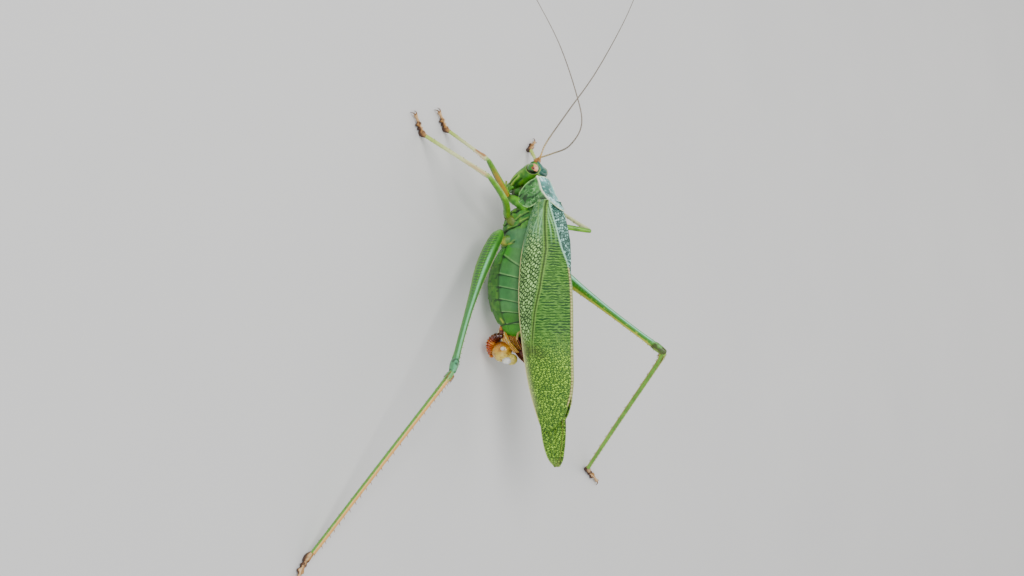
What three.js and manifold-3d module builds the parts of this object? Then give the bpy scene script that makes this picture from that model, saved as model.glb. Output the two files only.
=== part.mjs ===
// A female bush katydid, one of the long horned grasshoppers, life size and standing still.
//
// Units are millimetres. +Y runs towards the head, +X to the animal's right and +Z up. The origin is at floor
// level, under the middle of the bounding box.
//
// Three frames are used. Legs and feelers are placed in the stance frame, whose floor is z = 0 and whose origin
// lies under the hind hips. The trunk, head and wings are placed in the body frame: its origin is midway between
// the hind hips, and it leans a little to the animal's right. The pronotum and what it covers are placed in the
// collar frame, whose origin is the front edge of the pronotum's disc on the midline. It is pitched nose down.

import * as THREE from "three";
import { mergeVertices } from "three/addons/utils/BufferGeometryUtils.js";
import Module from "manifold-3d";

const wasm = await Module();
wasm.setup();

// ---------- driving dimensions ----------

const { lerp, clamp, degToRad, smoothstep } = THREE.MathUtils;

const HIP_HEIGHT = 4.6; // the body frame's origin above the floor
const LEAN = degToRad(9);
const SHELL = 0.5; // thickness of the wings and of the pronotum
const CLEAR = 0.2; // how far a piece is cut back from its neighbour
const COLLAR = { y: 7.45, z: 4.75, pitch: degToRad(33) };

// Trunk sections: [y, lowest z, highest z, half width].
const THORAX = [
  [4.2, 1.5, 5.2, 1.6],
  [3.5, 0.1, 5.6, 2.1],
  [2.3, -1.0, 6.0, 2.45],
  [0.6, -1.4, 5.9, 2.65],
  [-1.5, -1.5, 5.3, 2.85],
];
const ABDOMEN = [
  [-1.7, -1.6, 4.9, 2.8],
  [-3.4, -2.9, 4.7, 3.15],
  [-5.3, -3.6, 4.4, 3.35],
  [-7.2, -3.8, 4.0, 3.3],
  [-9.2, -3.6, 3.5, 3.05],
  [-11.0, -2.85, 2.9, 2.6],
  [-12.4, -1.95, 2.4, 1.95],
];
const TERGITE = { count: 8, lip: 0.16 }; // rings, and how far each one's hind edge stands proud of the next
const TAIL = [
  [-12.5, -1.85, 2.2, 1.75],
  [-12.8, -1.5, 2.0, 1.45],
  [-13.0, -1.0, 1.75, 1.1],
  [-13.12, -0.4, 1.4, 0.6],
];
const PROTHORAX = [
  [0.9, -2.9, -1.3, 0.8],
  [0.3, -3.8, -1.0, 1.2],
  [-0.9, -4.4, -0.85, 1.45],
  [-2.4, -4.2, -0.85, 1.5],
  [-3.7, -3.4, -0.9, 1.3],
];

// The head from the crown down to the mouth: [y, z, half width, reach forward, reach back].
const HEAD = [
  [8.75, 4.98, 0.5, 0.4, 0.4],
  [8.8, 4.72, 1.15, 0.85, 0.85],
  [8.8, 4.15, 1.5, 1.2, 1.15],
  [8.7, 3.4, 1.62, 1.36, 1.2],
  [8.35, 2.4, 1.64, 1.22, 1.15],
  [7.85, 1.4, 1.52, 1.1, 0.9],
  [7.35, 0.6, 1.25, 1.0, 0.7],
  [7.0, 0.05, 0.95, 0.75, 0.5],
];
const FACE_TILT = degToRad(27); // how far the face's front leans down
const EYE = { at: [1.32, 8.92, 3.98], radii: [0.78, 0.72, 0.88], tilt: degToRad(24) };

// The pronotum's disc on top, and a lobe hanging at each side, rounded below and cut in behind the shoulder.
// The disc's sides spread towards the rear, its rear edge is round, and it dips behind the front edge.
const PRONOTUM = { front: -0.2, length: 5.5, shoulder: 3.7, frontHalf: 1.77, widest: 1.95, crown: 0.3, lobeHalf: 2.7 };
const DISC_DIP = { from: 0.15, to: -0.33, over: 2.3 };
const LOBE = [
  // [height below the collar's origin, its front edge and its rear edge, counted backwards from the origin]
  [0, -0.2, 3.7],
  [0.4, -0.15, 3.5],
  [1.1, -0.27, 3.3],
  [2.0, -0.22, 3.2],
  [2.7, -0.05, 3.1],
  [3.2, 0.12, 2.8],
  [3.55, 0.45, 2.25],
  [3.77, 0.95, 1.6],
];

// Forewing stations: [y, z of the lower edge, z of the crest, x of the lower edge, widest x, x of the crest].
// The crest is the line where the side of the wing turns over on to the back.
const TEGMEN = [
  [3.5, 4.5, 6.75, 2.7, 2.9, 2.05],
  [0.9, 3.9, 7.35, 3.15, 3.35, 1.85],
  [-2.0, 3.3, 7.85, 3.55, 3.65, 1.3],
  [-5.0, 2.95, 8.55, 3.85, 3.8, 0.65],
  [-9.0, 2.65, 8.8, 3.9, 3.75, 0.6],
  [-13.0, 2.52, 8.72, 3.35, 3.3, 0.6],
  [-17.5, 2.55, 8.62, 2.5, 2.6, 0.6],
  [-21.3, 2.85, 8.45, 1.75, 1.95, 0.65],
  [-24.2, 3.4, 7.6, 1.25, 1.4, 1.1],
  [-25.9, 4.0, 6.3, 1.22, 1.28, 1.2],
  [-26.6, 4.7, 5.4, 1.22, 1.25, 1.2],
];
// The folded hindwing: [y, z of the lower edge, z of the upper edge].
const HINDWING = [
  [-4.0, 5.6, 6.6],
  [-10.0, 5.6, 7.2],
  [-16.0, 5.7, 7.0],
  [-20.0, 5.1, 6.75],
  [-23.0, 3.9, 6.6],
  [-25.2, 3.6, 6.9],
  [-27.7, 3.8, 6.8],
  [-29.6, 4.3, 6.5],
  [-30.9, 5.0, 6.2],
  [-31.3, 5.5, 5.9],
];

// The ovipositor's blade, from the tail backwards and up: [y, z, half depth].
const OVIPOSITOR = [
  [-13.1, -0.1, 1.2],
  [-15.0, 0.85, 1.42],
  [-16.5, 2.15, 1.3],
  [-17.6, 3.65, 0.92],
  [-18.1, 4.9, 0.35],
];
const BLADE_HALF = 0.4;

// Legs. The knee, ankle and toe are in the stance frame, the toe on the floor.
const LEGS = {
  front_left: { kind: "front", side: -1, knee: [-7.6, 9.3, 6.6], ankle: [-8.8, 13.9, 1.0], toe: [-10.2, 16.4] },
  front_right: { kind: "front", side: 1, knee: [8.0, 8.6, 5.4], ankle: [9.15, 14.4, 1.0], toe: [10.75, 16.0] },
  middle_left: { kind: "middle", side: -1, knee: [-10.3, 6.3, 8.9], ankle: [-13.5, 12.4, 1.0], toe: [-14.9, 15.1] },
  middle_right: { kind: "middle", side: 1, knee: [10.7, 1.5, 9.9], ankle: [12.3, 7.1, 1.0], toe: [14.3, 9.3], sag: -0.5 },
  hind_left: { kind: "hind", side: -1, knee: [-18.3, -19.1, 9.0], ankle: [-33.7, -39.7, 1.0], toe: [-35.9, -42.9], sag: 1 },
  hind_right: { kind: "hind", side: 1, knee: [11.6, -16.4, 20.8], ankle: [21.2, -32.0, 1.0], toe: [24.1, -34.1], sag: 0.68 },
};

// Each kind of leg. The hip and the femur's base are in the body frame, for the right side.
// Limb rows are [share of the length, half width, half depth, sag below the straight line].
const LEG_KINDS = {
  front: {
    hip: [1.85, 3.6, 3.1],
    joint: [2.15, 5.35, 0.4],
    base: [2.15, 5.35, 0.4],
    coxa: 0.7,
    kneeRoom: 0.34,
    femur: [
      [0, 0.28, 0.3, 0],
      [0.1, 0.38, 0.42, 0],
      [0.5, 0.36, 0.4, 0],
      [0.9, 0.29, 0.36, 0],
      [1, 0.22, 0.26, 0],
    ],
    tibia: [
      [0, 0.26, 0.26, 0],
      [0.12, 0.36, 0.34, 0],
      [0.3, 0.27, 0.27, 0],
      [1, 0.26, 0.26, 0],
    ],
  },
  middle: {
    hip: [1.9, 1.5, 1.3],
    joint: [2.55, 2.45, 0.45],
    base: [2.55, 2.45, 0.45],
    coxa: 0.66,
    kneeRoom: 0.34,
    femur: [
      [0, 0.3, 0.32, 0],
      [0.12, 0.42, 0.46, -0.3],
      [0.3, 0.39, 0.43, -0.8],
      [0.5, 0.36, 0.41, -1.05],
      [0.72, 0.33, 0.38, -0.8],
      [0.92, 0.29, 0.36, -0.25],
      [1, 0.22, 0.26, 0],
    ],
    tibia: [
      [0, 0.26, 0.26, 0],
      [0.08, 0.31, 0.32, 0],
      [0.5, 0.27, 0.27, 0],
      [1, 0.26, 0.26, 0],
    ],
  },
  hind: {
    hip: [1.9, -0.7, 0.6],
    joint: [2.95, -0.8, -0.4],
    base: [3.0, 0.5, -0.35],
    coxa: 0.75,
    kneeRoom: 0.2,
    femur: [
      [0, 0.35, 0.45, 0.2],
      [0.02, 0.6, 0.8, 0.3],
      [0.06, 0.74, 1.0, 0.5],
      [0.13, 0.78, 1.1, 0.8],
      [0.22, 0.75, 1.08, 1.02],
      [0.32, 0.64, 0.94, 1.1],
      [0.44, 0.5, 0.68, 0.98],
      [0.6, 0.38, 0.48, 0.78],
      [0.76, 0.34, 0.42, 0.5],
      [0.88, 0.34, 0.42, 0.24],
      [0.95, 0.44, 0.56, 0.1],
      [1, 0.34, 0.44, 0],
    ],
    tibia: [
      [0, 0.3, 0.32, 0],
      [0.03, 0.38, 0.44, 0],
      [0.1, 0.34, 0.36, -0.1],
      [0.6, 0.33, 0.35, 0],
      [1, 0.3, 0.3, 0],
    ],
  },
};

// Tarsus: [share of the length, half width, lowest z, highest z]. Three pads come first, then the claw joint.
const TARSUS = [
  [0, 0.27, 0.5, 1.15],
  [0.1, 0.36, 0, 0.98],
  [0.27, 0.36, 0, 0.78],
  [0.33, 0.29, 0.14, 0.7],
  [0.42, 0.4, 0, 0.7],
  [0.5, 0.29, 0.14, 0.64],
  [0.62, 0.52, 0, 0.68],
  [0.72, 0.27, 0.2, 0.76],
  [1, 0.29, 0.12, 0.7],
];
const CLAW = { length: 0.8, radius: 0.25, spread: degToRad(32) };

// Feelers, base to tip, in the stance frame.
const FEELER = {
  antenna_left: [
    [0.1, 10.0, 8.45],
    [0.0, 10.4, 9.3],
    [-0.3, 10.55, 11.7],
    [-0.8, 11.0, 15.0],
    [-1.2, 13.4, 17.35],
    [-2.0, 17.5, 17.2],
    [-4.0, 24.5, 15.9],
    [-7.0, 32.0, 13.5],
  ],
  antenna_right: [
    [1.1, 9.95, 8.3],
    [1.3, 10.9, 8.55],
    [1.6, 12.9, 9.5],
    [1.75, 16.6, 13.2],
    [2.3, 21.2, 17.5],
    [4.0, 28.0, 21.3],
    [7.0, 34.5, 22.5],
  ],
};
const FEELER_RADIUS = [
  // [share of the length, radius]: the thick first joint, then the long whip
  [0, 0.36],
  [0.03, 0.36],
  [0.04, 0.27],
  [1, 0.25],
];

const FINISH = {
  green: { color: 0x4f9a2f, roughness: 0.45 },
  wing: { color: 0x4c8f2e, roughness: 0.55 },
  plate: { color: 0x5f9f78, roughness: 0.5 },
  pale_leg: { color: 0xc6d392, roughness: 0.45 },
  shin: { color: 0x8fa840, roughness: 0.45 },
  foot: { color: 0x8a5a2a, roughness: 0.55 },
  eye: { color: 0xd9a288, roughness: 0.2 },
  feeler: { color: 0xa8905a, roughness: 0.5 },
  blade: { color: 0x7a3320, roughness: 0.35 },
  amber: { color: 0xd9b45a, roughness: 0.25 },
};

// ---------- frames ----------

const BODY = new THREE.Matrix4().makeTranslation(0, 0, HIP_HEIGHT).multiply(new THREE.Matrix4().makeRotationY(LEAN));
const COLLAR_FRAME = BODY.clone()
  .multiply(new THREE.Matrix4().makeTranslation(0, COLLAR.y, COLLAR.z))
  .multiply(new THREE.Matrix4().makeRotationX(-COLLAR.pitch));
const STANCE = new THREE.Matrix4();

const ACROSS = new THREE.Vector3(1, 0, 0);
const UP = new THREE.Vector3(0, 0, 1);
const vec = (p) => new THREE.Vector3(...p);

// ---------- shape tools ----------

// The row at share t of the way through the rows, on a smooth curve through all of them.
function rowAt(rows, t) {
  const last = rows.length - 1;
  const place = clamp(t, 0, 1) * last;
  const i = Math.min(Math.floor(place), last - 1);
  const f = place - i;
  const at = (k, n) => rows[clamp(k, 0, last)][n];
  return rows[0].map((_, n) => {
    const [a, b, c, d] = [at(i - 1, n), at(i, n), at(i + 1, n), at(i + 2, n)];
    return b + 0.5 * f * (c - a + f * (2 * a - 5 * b + 4 * c - d + f * (3 * (b - c) + d - a)));
  });
}

// The row whose first number is x, on the straight line between its two neighbours. First numbers must rise.
function rowWhere(rows, x) {
  let i = 0;
  while (i < rows.length - 2 && rows[i + 1][0] < x) i++;
  const f = clamp((x - rows[i][0]) / (rows[i + 1][0] - rows[i][0]), 0, 1);
  return rows[i].map((value, n) => lerp(value, rows[i + 1][n], f));
}

// A geometry from points and faces, with the faces turned to look outwards.
function facingOut(points, index) {
  let volume = 0;
  for (let i = 0; i < index.length; i += 3) {
    const [a, b, c] = [points[index[i]], points[index[i + 1]], points[index[i + 2]]];
    volume += a.dot(new THREE.Vector3().crossVectors(b, c));
  }
  if (volume < 0) index.reverse();
  return new THREE.BufferGeometry().setFromPoints(points).setIndex(index);
}

// Joins a row of rings into a closed solid, with a fan over each end.
function loft(rings) {
  const count = rings[0].length;
  const points = rings.flat();
  const index = [];
  for (let r = 0; r < rings.length - 1; r++) {
    for (let i = 0; i < count; i++) {
      const j = (i + 1) % count;
      const [a, b, c, d] = [r * count + i, r * count + j, (r + 1) * count + j, (r + 1) * count + i];
      index.push(a, b, c, a, c, d);
    }
  }
  for (const end of [0, rings.length - 1]) {
    const middle = rings[end].reduce((sum, p) => sum.add(p), new THREE.Vector3()).divideScalar(count);
    points.push(middle);
    for (let i = 0; i < count; i++) {
      const [a, b] = [end * count + i, end * count + ((i + 1) % count)];
      index.push(...(end ? [points.length - 1, a, b] : [points.length - 1, b, a]));
    }
  }
  return facingOut(points, index);
}

// An oval ring of points. A squareness above 2 makes it boxier, and it can be deeper below than above.
function oval(centre, across, up, half, below, above, count, squareness = 2) {
  const bulge = (value) => Math.sign(value) * Math.abs(value) ** (2 / squareness);
  return Array.from({ length: count }, (_, i) => {
    const angle = (2 * Math.PI * (i + 0.5)) / count;
    const [x, z] = [bulge(Math.cos(angle)) * half, bulge(Math.sin(angle))];
    return centre
      .clone()
      .addScaledVector(across, x)
      .addScaledVector(up, z * (z > 0 ? above : below));
  });
}

// A stretch of trunk from [y, lowest z, highest z, half width] rows, with lipped rings along it if asked for.
function trunk(rows, count, steps, { lips = 0, lip = 0 } = {}) {
  const rings = [];
  for (let s = 0; s <= steps; s++) {
    const [y, low, high, half] = rowAt(rows, s / steps);
    const place = (s * lips) / steps;
    const grow = lips ? lip * (place === lips ? 1 : place - Math.floor(place)) : 0;
    const depth = (high - low) / 2 + grow;
    rings.push(oval(vec([0, y, (low + high) / 2]), ACROSS, UP, half + grow, depth, depth, count, 2.2));
  }
  return loft(rings);
}

// A limb between two points, from [share, half width, half depth, sag] rows. dorsal points out of its back.
function limb(from, to, dorsal, rows, count) {
  const along = new THREE.Vector3().subVectors(to, from).normalize();
  const across = new THREE.Vector3().crossVectors(along, dorsal).normalize();
  const up = new THREE.Vector3().crossVectors(across, along);
  return loft(
    rows.map(([share, half, depth, sag]) => {
      const centre = new THREE.Vector3().lerpVectors(from, to, share).addScaledVector(up, -sag);
      return oval(centre, across, up, half, depth, depth, count, 2.3);
    }),
  );
}

// A round rod along a curve through points. radiusAt gives its radius at each share of the length.
function rod(points, radiusAt, count, shares) {
  const curve = new THREE.CatmullRomCurve3(points.map(vec), false, "centripetal");
  return loft(
    shares.map((share) => {
      const along = curve.getTangentAt(share);
      const across = new THREE.Vector3().crossVectors(along, UP).normalize();
      const up = new THREE.Vector3().crossVectors(across, along);
      const radius = radiusAt(share);
      return oval(curve.getPointAt(share), across, up, radius, radius, radius, count);
    }),
  );
}

const evenShares = (steps) => Array.from({ length: steps + 1 }, (_, i) => i / steps);

// A shell of even thickness. surface(u, v) gives its outer face, with u and v from 0 to 1; seen from outside, v
// runs to the left of u.
function sheet(surface, uCount, vCount, thickness) {
  const at = (i, j) => surface(clamp(i, 0, uCount) / uCount, clamp(j, 0, vCount) / vCount);
  const outer = [];
  const inner = [];
  for (let i = 0; i <= uCount; i++) {
    for (let j = 0; j <= vCount; j++) {
      const alongU = at(i + 1, j).sub(at(i - 1, j));
      const alongV = at(i, j + 1).sub(at(i, j - 1));
      outer.push(at(i, j));
      inner.push(at(i, j).addScaledVector(alongU.cross(alongV).normalize(), -thickness));
    }
  }
  const points = [...outer, ...inner];
  const index = [];
  const id = (i, j, layer) => layer * outer.length + i * (vCount + 1) + j;
  const quad = (a, b, c, d) => index.push(a, b, c, a, c, d);
  for (let i = 0; i < uCount; i++) {
    for (let j = 0; j < vCount; j++) {
      quad(id(i, j, 0), id(i, j + 1, 0), id(i + 1, j + 1, 0), id(i + 1, j, 0));
      quad(id(i, j, 1), id(i + 1, j, 1), id(i + 1, j + 1, 1), id(i, j + 1, 1));
    }
    quad(id(i, 0, 0), id(i + 1, 0, 0), id(i + 1, 0, 1), id(i, 0, 1));
    quad(id(i, vCount, 0), id(i, vCount, 1), id(i + 1, vCount, 1), id(i + 1, vCount, 0));
  }
  for (let j = 0; j < vCount; j++) {
    quad(id(0, j, 0), id(0, j, 1), id(0, j + 1, 1), id(0, j + 1, 0));
    quad(id(uCount, j, 0), id(uCount, j + 1, 0), id(uCount, j + 1, 1), id(uCount, j, 1));
  }
  return facingOut(points, index);
}

// A ball squashed to three radii.
function ball(centre, radii, around, down) {
  const shape = new THREE.SphereGeometry(1, around, down).rotateX(Math.PI / 2).scale(...radii);
  return shape.translate(...centre);
}

// ---------- solids ----------

// A geometry as a manifold-3d solid in the stance frame.
function solid(geometry, frame = STANCE) {
  const bare = geometry.clone().applyMatrix4(frame);
  bare.deleteAttribute("normal");
  bare.deleteAttribute("uv");
  const merged = mergeVertices(bare, 1e-4);
  return new wasm.Manifold(
    new wasm.Mesh({
      numProp: 3,
      vertProperties: new Float32Array(merged.attributes.position.array),
      triVerts: new Uint32Array(merged.index.array),
    }),
  );
}

const TIDY = 0.03; // detail finer than this is dropped from each finished piece
const joined = (solids) => solids.reduce((all, next) => all.add(next));
const clearance = wasm.Manifold.sphere(CLEAR, 4);
const grown = (piece) => piece.minkowskiSum(clearance).simplify(TIDY);
const largest = (piece) => piece.decompose().sort((a, b) => b.volume() - a.volume())[0];

const pieces = new Map();

function add(name, finish, piece) {
  pieces.set(name, { finish, piece });
}

// Cuts one piece back from the others, so that they meet with a hairline between them.
function fit(name, others) {
  const entry = pieces.get(name);
  const cut = others.reduce((left, other) => left.subtract(grown(pieces.get(other).piece)), entry.piece);
  entry.piece = largest(cut);
}

// ---------- trunk ----------

function makeTrunk() {
  add("prothorax", "green", solid(trunk(PROTHORAX, 12, 5), COLLAR_FRAME));
  add("thorax", "green", solid(trunk(THORAX, 13, 5), BODY));
  const rings = trunk(ABDOMEN, 16, TERGITE.count * 3, { lips: TERGITE.count, lip: TERGITE.lip });
  add("abdomen", "green", solid(rings, BODY));
  add("tail", "green", solid(trunk(TAIL, 14, 4), BODY));
}

// The pronotum's outer face. u runs backwards, v from one lobe's lower edge over the back to the other's.
function pronotumSurface(u, v) {
  const discShare = 0.3; // the share of v, out from the midline, that the disc takes
  const { front, length, shoulder, frontHalf, widest, crown, lobeHalf } = PRONOTUM;
  const side = v < 0.5 ? -1 : 1;
  const fromMidline = Math.abs(2 * v - 1);
  const discHalf = (s) => lerp(frontHalf, widest, smoothstep(s, front, shoulder * 0.6)) - 0.15 * smoothstep(s, 2, shoulder);
  const discHeight = (s) => lerp(DISC_DIP.from, DISC_DIP.to, smoothstep(s, front, DISC_DIP.over));
  if (fromMidline <= discShare + 1e-9) {
    const out = fromMidline / discShare;
    const s = lerp(front, lerp(length, shoulder, out ** 2.2), u);
    return new THREE.Vector3(side * out * discHalf(s), -s, discHeight(s) + crown * (1 - out * out));
  }
  const down = (fromMidline - discShare) / (1 - discShare);
  const drop = down * LOBE[LOBE.length - 1][0];
  const [, lobeFront, lobeRear] = rowWhere(LOBE, drop);
  const s = lerp(lobeFront, lobeRear, u);
  const belly = Math.sin(Math.min(down * 1.6, 1) * (Math.PI / 2));
  return new THREE.Vector3(side * (lerp(discHalf(s), lobeHalf, belly) - 0.15 * down), -s, -drop);
}

function makePronotum() {
  add("pronotum", "plate", solid(sheet(pronotumSurface, 7, 20, SHELL), COLLAR_FRAME));
}

// ---------- head ----------

// An eye, or with a margin the socket that it sits in.
function eye(side, margin = 0) {
  const [x, y, z] = EYE.at;
  const radii = EYE.radii.map((r) => r + margin);
  return solid(ball([0, 0, 0], radii, 11, 7).rotateX(EYE.tilt).translate(side * x, y, z), BODY);
}

function makeHead() {
  const forward = new THREE.Vector3(0, Math.cos(FACE_TILT), -Math.sin(FACE_TILT));
  const rings = evenShares(8).map((share) => {
    const [y, z, half, front, back] = rowAt(HEAD, share);
    return oval(vec([0, y, z]), ACROSS, forward, half, back, front, 12, 2.15);
  });
  const ridge = [
    [0, 0.75, 0.5, 0],
    [0.6, 0.4, 0.4, 0],
    [1, 0.25, 0.25, 0],
  ];
  const fastigium = limb(vec([0, 9.2, 4.35]), vec([0, 10.15, 3.85]), UP, ridge, 6);
  const sockets = [-0.5, 0.5].map((x) => solid(ball([x, 9.75, 3.6], [0.48, 0.42, 0.5], 7, 4), BODY));
  const whole = joined([solid(loft(rings), BODY), solid(fastigium, BODY), ...sockets]);
  add("head", "green", whole.subtract(eye(-1, 0.15)).subtract(eye(1, 0.15)));
  add("eye_left", "eye", eye(-1));
  add("eye_right", "eye", eye(1));
}

// The upper lip with the jaws behind it, and the pair of jointed palps beside them.
function makeMouth() {
  const jaws = [
    [0, 0.82, 0.6, 0],
    [0.6, 0.72, 0.52, 0],
    [1, 0.4, 0.28, 0],
  ];
  const lip = limb(vec([0, 7.05, -0.1]), vec([0, 6.55, -1.15]), vec([0, 1, -0.4]), jaws, 12);
  add("mouthparts", "green", solid(lip, BODY));
  for (const [name, side] of [
    ["palps_left", -1],
    ["palps_right", 1],
  ]) {
    const joints = [
      [side * 1.25, 6.7, -0.3],
      [side * 1.55, 6.85, -1.2],
      [side * 1.4, 7.6, -1.8],
      [side * 1.3, 7.95, -1.75],
    ];
    const palp = rod(joints, () => 0.25, 6, evenShares(6));
    add(name, "pale_leg", solid(palp, BODY));
  }
}

function makeFeelers() {
  const steps = 26;
  const shares = [0, 0.02, 0.03, ...evenShares(steps).slice(2)];
  for (const [name, points] of Object.entries(FEELER)) {
    add(name, "feeler", solid(rod(points, (share) => rowWhere(FEELER_RADIUS, share)[1], 6, shares)));
  }
}

// ---------- wings ----------

// One forewing's outer face, for the left side. u runs backwards; v from the lower edge up to the crest and over
// the back as far as x = edge. That last field rises by lift, so that one wing can lie over the other, and the
// crest stands drop lower where the wings are edge to edge. spread(y) scales how far the side stands out.
function tegmenSurface(u, v, { edge, lift, drop, dip, spread }) {
  const sideShare = 5 / 7; // the share of v below the crest
  const [y, low, crest, edgeX, wideX, xCrest] = rowAt(TEGMEN, u);
  const [xLow, xWide] = [edgeX * spread(y), wideX * spread(y)];
  const high = crest - lerp(drop, dip, openBack(y));
  if (v <= sideShare + 1e-9) {
    const up = v / sideShare;
    const bend = 2 * xWide - (xLow + xCrest) / 2;
    const x = (1 - up) ** 2 * xLow + 2 * up * (1 - up) * bend + up ** 2 * xCrest;
    return new THREE.Vector3(-x, y, lerp(low, high, up));
  }
  const over = (v - sideShare) / (1 - sideShare);
  return new THREE.Vector3(lerp(-xCrest, edge(y), over), y, high + lift * over * openBack(y));
}

const openBack = (y) => smoothstep(y, -6, -1); // 1 just behind the pronotum, 0 where the wings meet edge to edge
const apart = (y) => smoothstep(-y, 20.5, 23.5); // 0, and 1 at the tip, where the hindwings come between

function makeWings() {
  const standoff = 0.07; // half the gap between left and right
  const edgeOf = (y) => -standoff - 0.68 * apart(y);
  const left = { edge: (y) => edgeOf(y) + 0.9 * openBack(y), lift: 0.5, drop: 0, dip: 0, spread: () => 1 };
  const tucked = (y) => 1 - 0.08 * smoothstep(-y, 0.5, 3) * (1 - smoothstep(-y, 12, 20)); // beside the raised thigh
  const right = { edge: (y) => edgeOf(y) - 0.65 * openBack(y), lift: -0.6, drop: 0.45, dip: 0.1, spread: tucked };
  const flip = (surface) => (u, v) => surface(u, 1 - v).multiply(new THREE.Vector3(-1, 1, 1));
  const leftFace = (u, v) => tegmenSurface(u, v, left);
  const rightFace = (u, v) => tegmenSurface(u, v, right);
  add("tegmen_left", "wing", solid(sheet(leftFace, 14, 7, SHELL), BODY));
  add("tegmen_right", "wing", solid(sheet(flip(rightFace), 14, 7, SHELL), BODY));
  const fold = (u, v) => {
    const [y, low, high] = rowAt(HINDWING, u);
    return new THREE.Vector3(-SHELL - standoff, y, lerp(low, high, v));
  };
  add("hindwing_left", "wing", solid(sheet(fold, 12, 1, SHELL), BODY));
  add("hindwing_right", "wing", solid(sheet(flip(fold), 12, 1, SHELL), BODY));
}

// ---------- tail end ----------

function makeTailEnd() {
  const rings = evenShares(9).map((share) => {
    const [y, z, half] = rowAt(OVIPOSITOR, share);
    const [ahead, behind] = [rowAt(OVIPOSITOR, share - 0.02), rowAt(OVIPOSITOR, share + 0.02)];
    const along = vec([0, behind[0] - ahead[0], behind[1] - ahead[1]]).normalize();
    const up = new THREE.Vector3().crossVectors(ACROSS, along);
    return oval(vec([0, y, z]), ACROSS, up, BLADE_HALF, half, half, 10);
  });
  add("ovipositor", "blade", solid(loft(rings), BODY));
  for (const [name, side] of [
    ["cercus_left", -1],
    ["cercus_right", 1],
  ]) {
    const points = [
      [side * 1.2, -13.3, 1.75],
      [side * 1.3, -13.3, 1.15],
      [side * 1.15, -14.15, 0.75],
    ];
    add(name, "pale_leg", solid(rod(points, (share) => lerp(0.3, 0.25, share), 6, evenShares(5)), BODY));
  }
}

// The packet a mated female carries under the ovipositor: a round sac with a clear drop behind it, a neck that ties
// it to the tail, and a ribbed lobe curled round its front and underside.
const SAC = { at: [-0.9, -15.65, -1.8], radius: 1.42 };
const SAC_NECK = [
  [-0.8, -12.5, -1.95],
  [-0.75, -13.5, -1.6],
  [-0.6, -14.6, -1.0],
];

function makeSpermatophore() {
  const [x, y, z] = SAC.at;
  const sac = solid(ball(SAC.at, [1.3, SAC.radius, SAC.radius], 11, 7), BODY);
  const drop = solid(ball([x + 0.2, y - 1.25, z + 1.35], [0.75, 0.8, 0.85], 8, 5), BODY);
  add("spermatophore_sac", "amber", sac.add(drop));
  add("spermatophore_neck", "blade", solid(rod(SAC_NECK, () => 0.55, 6, evenShares(3)), BODY));
  const ribs = 5;
  const rings = evenShares(2 * ribs).map((share) => {
    const angle = lerp(-0.1, 1.9, share);
    const outwards = vec([0, Math.cos(angle), -Math.sin(angle)]);
    const rib = Math.round(share * 2 * ribs) % 2 ? 1 : 0.85;
    const size = (0.28 + 0.34 * Math.sin(share ** 0.75 * Math.PI)) * rib;
    const curl = SAC.radius + lerp(0.88, 0.45, smoothstep(share, 0.2, 0.9));
    return oval(vec(SAC.at).addScaledVector(outwards, curl), ACROSS, outwards, 1.9 * size, size, size, 8);
  });
  add("spermatophore_lobe", "blade", solid(loft(rings), BODY));
}

// ---------- legs ----------

function tarsus(ankle, toe) {
  const from = vec([ankle[0], ankle[1], 0]);
  const to = vec([...toe, 0]);
  const along = new THREE.Vector3().subVectors(to, from).normalize();
  const across = new THREE.Vector3().crossVectors(along, UP);
  const rings = TARSUS.map(([share, half, low, high]) => {
    const depth = 0.62 * (high - low); // a little over half, so that the clamp leaves a flat sole
    const centre = new THREE.Vector3().lerpVectors(from, to, share).setZ((low + high) / 2);
    return oval(centre, across, UP, half, depth, depth, 8).map((p) => p.setZ(clamp(p.z, low, high)));
  });
  const claws = [-1, 1].map((side) => {
    const heading = along.clone().applyAxisAngle(UP, side * CLAW.spread);
    const root = to.clone().addScaledVector(along, -0.12).setZ(0.42);
    const points = [0, 0.6, 1].map((share) => {
      const height = lerp(lerp(0.42, 0.6, share), CLAW.radius, share * share);
      return root.clone().addScaledVector(heading, share * CLAW.length).setZ(height).toArray();
    });
    return solid(rod(points, () => CLAW.radius, 5, evenShares(2)));
  });
  return joined([solid(loft(rings)), ...claws]).trimByPlane([0, 0, 1], 0);
}

function makeLegs() {
  const shinFinish = { front: "pale_leg", middle: "pale_leg", hind: "shin" };
  for (const [name, { kind, side, knee, ankle, toe, sag = 1 }] of Object.entries(LEGS)) {
    const plan = LEG_KINDS[kind];
    const toStance = (p) => vec([side * p[0], p[1], p[2]]).applyMatrix4(BODY);
    const [hip, joint, base] = [plan.hip, plan.joint, plan.base].map(toStance);
    const [bend, foot] = [vec(knee), vec(ankle)];
    const thigh = new THREE.Vector3().subVectors(bend, base).normalize();
    const shin = new THREE.Vector3().subVectors(foot, bend).normalize();
    const back = thigh.clone().sub(shin).addScaledVector(UP, 0.2);
    const hipTaper = [
      [0, plan.coxa, plan.coxa, 0],
      [0.6, plan.coxa * 0.9, plan.coxa * 0.9, 0],
      [1, 0.4, 0.4, 0],
    ];
    add("coxa_" + name, "green", solid(limb(hip, joint, vec([0, 1, 0.3]), hipTaper, 8)));
    const femurRows = plan.femur.map(([share, half, depth, low]) => [share, half, depth, low * sag]);
    add("femur_" + name, "green", solid(limb(base, bend, back, femurRows, 9)));
    const shinStart = bend.clone().addScaledVector(shin, plan.kneeRoom);
    add("tibia_" + name, shinFinish[kind], solid(limb(shinStart, foot, back, plan.tibia, 8)));
    add("tarsus_" + name, "foot", tarsus(ankle, toe));
  }
}

// ---------- assembly ----------

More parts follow.
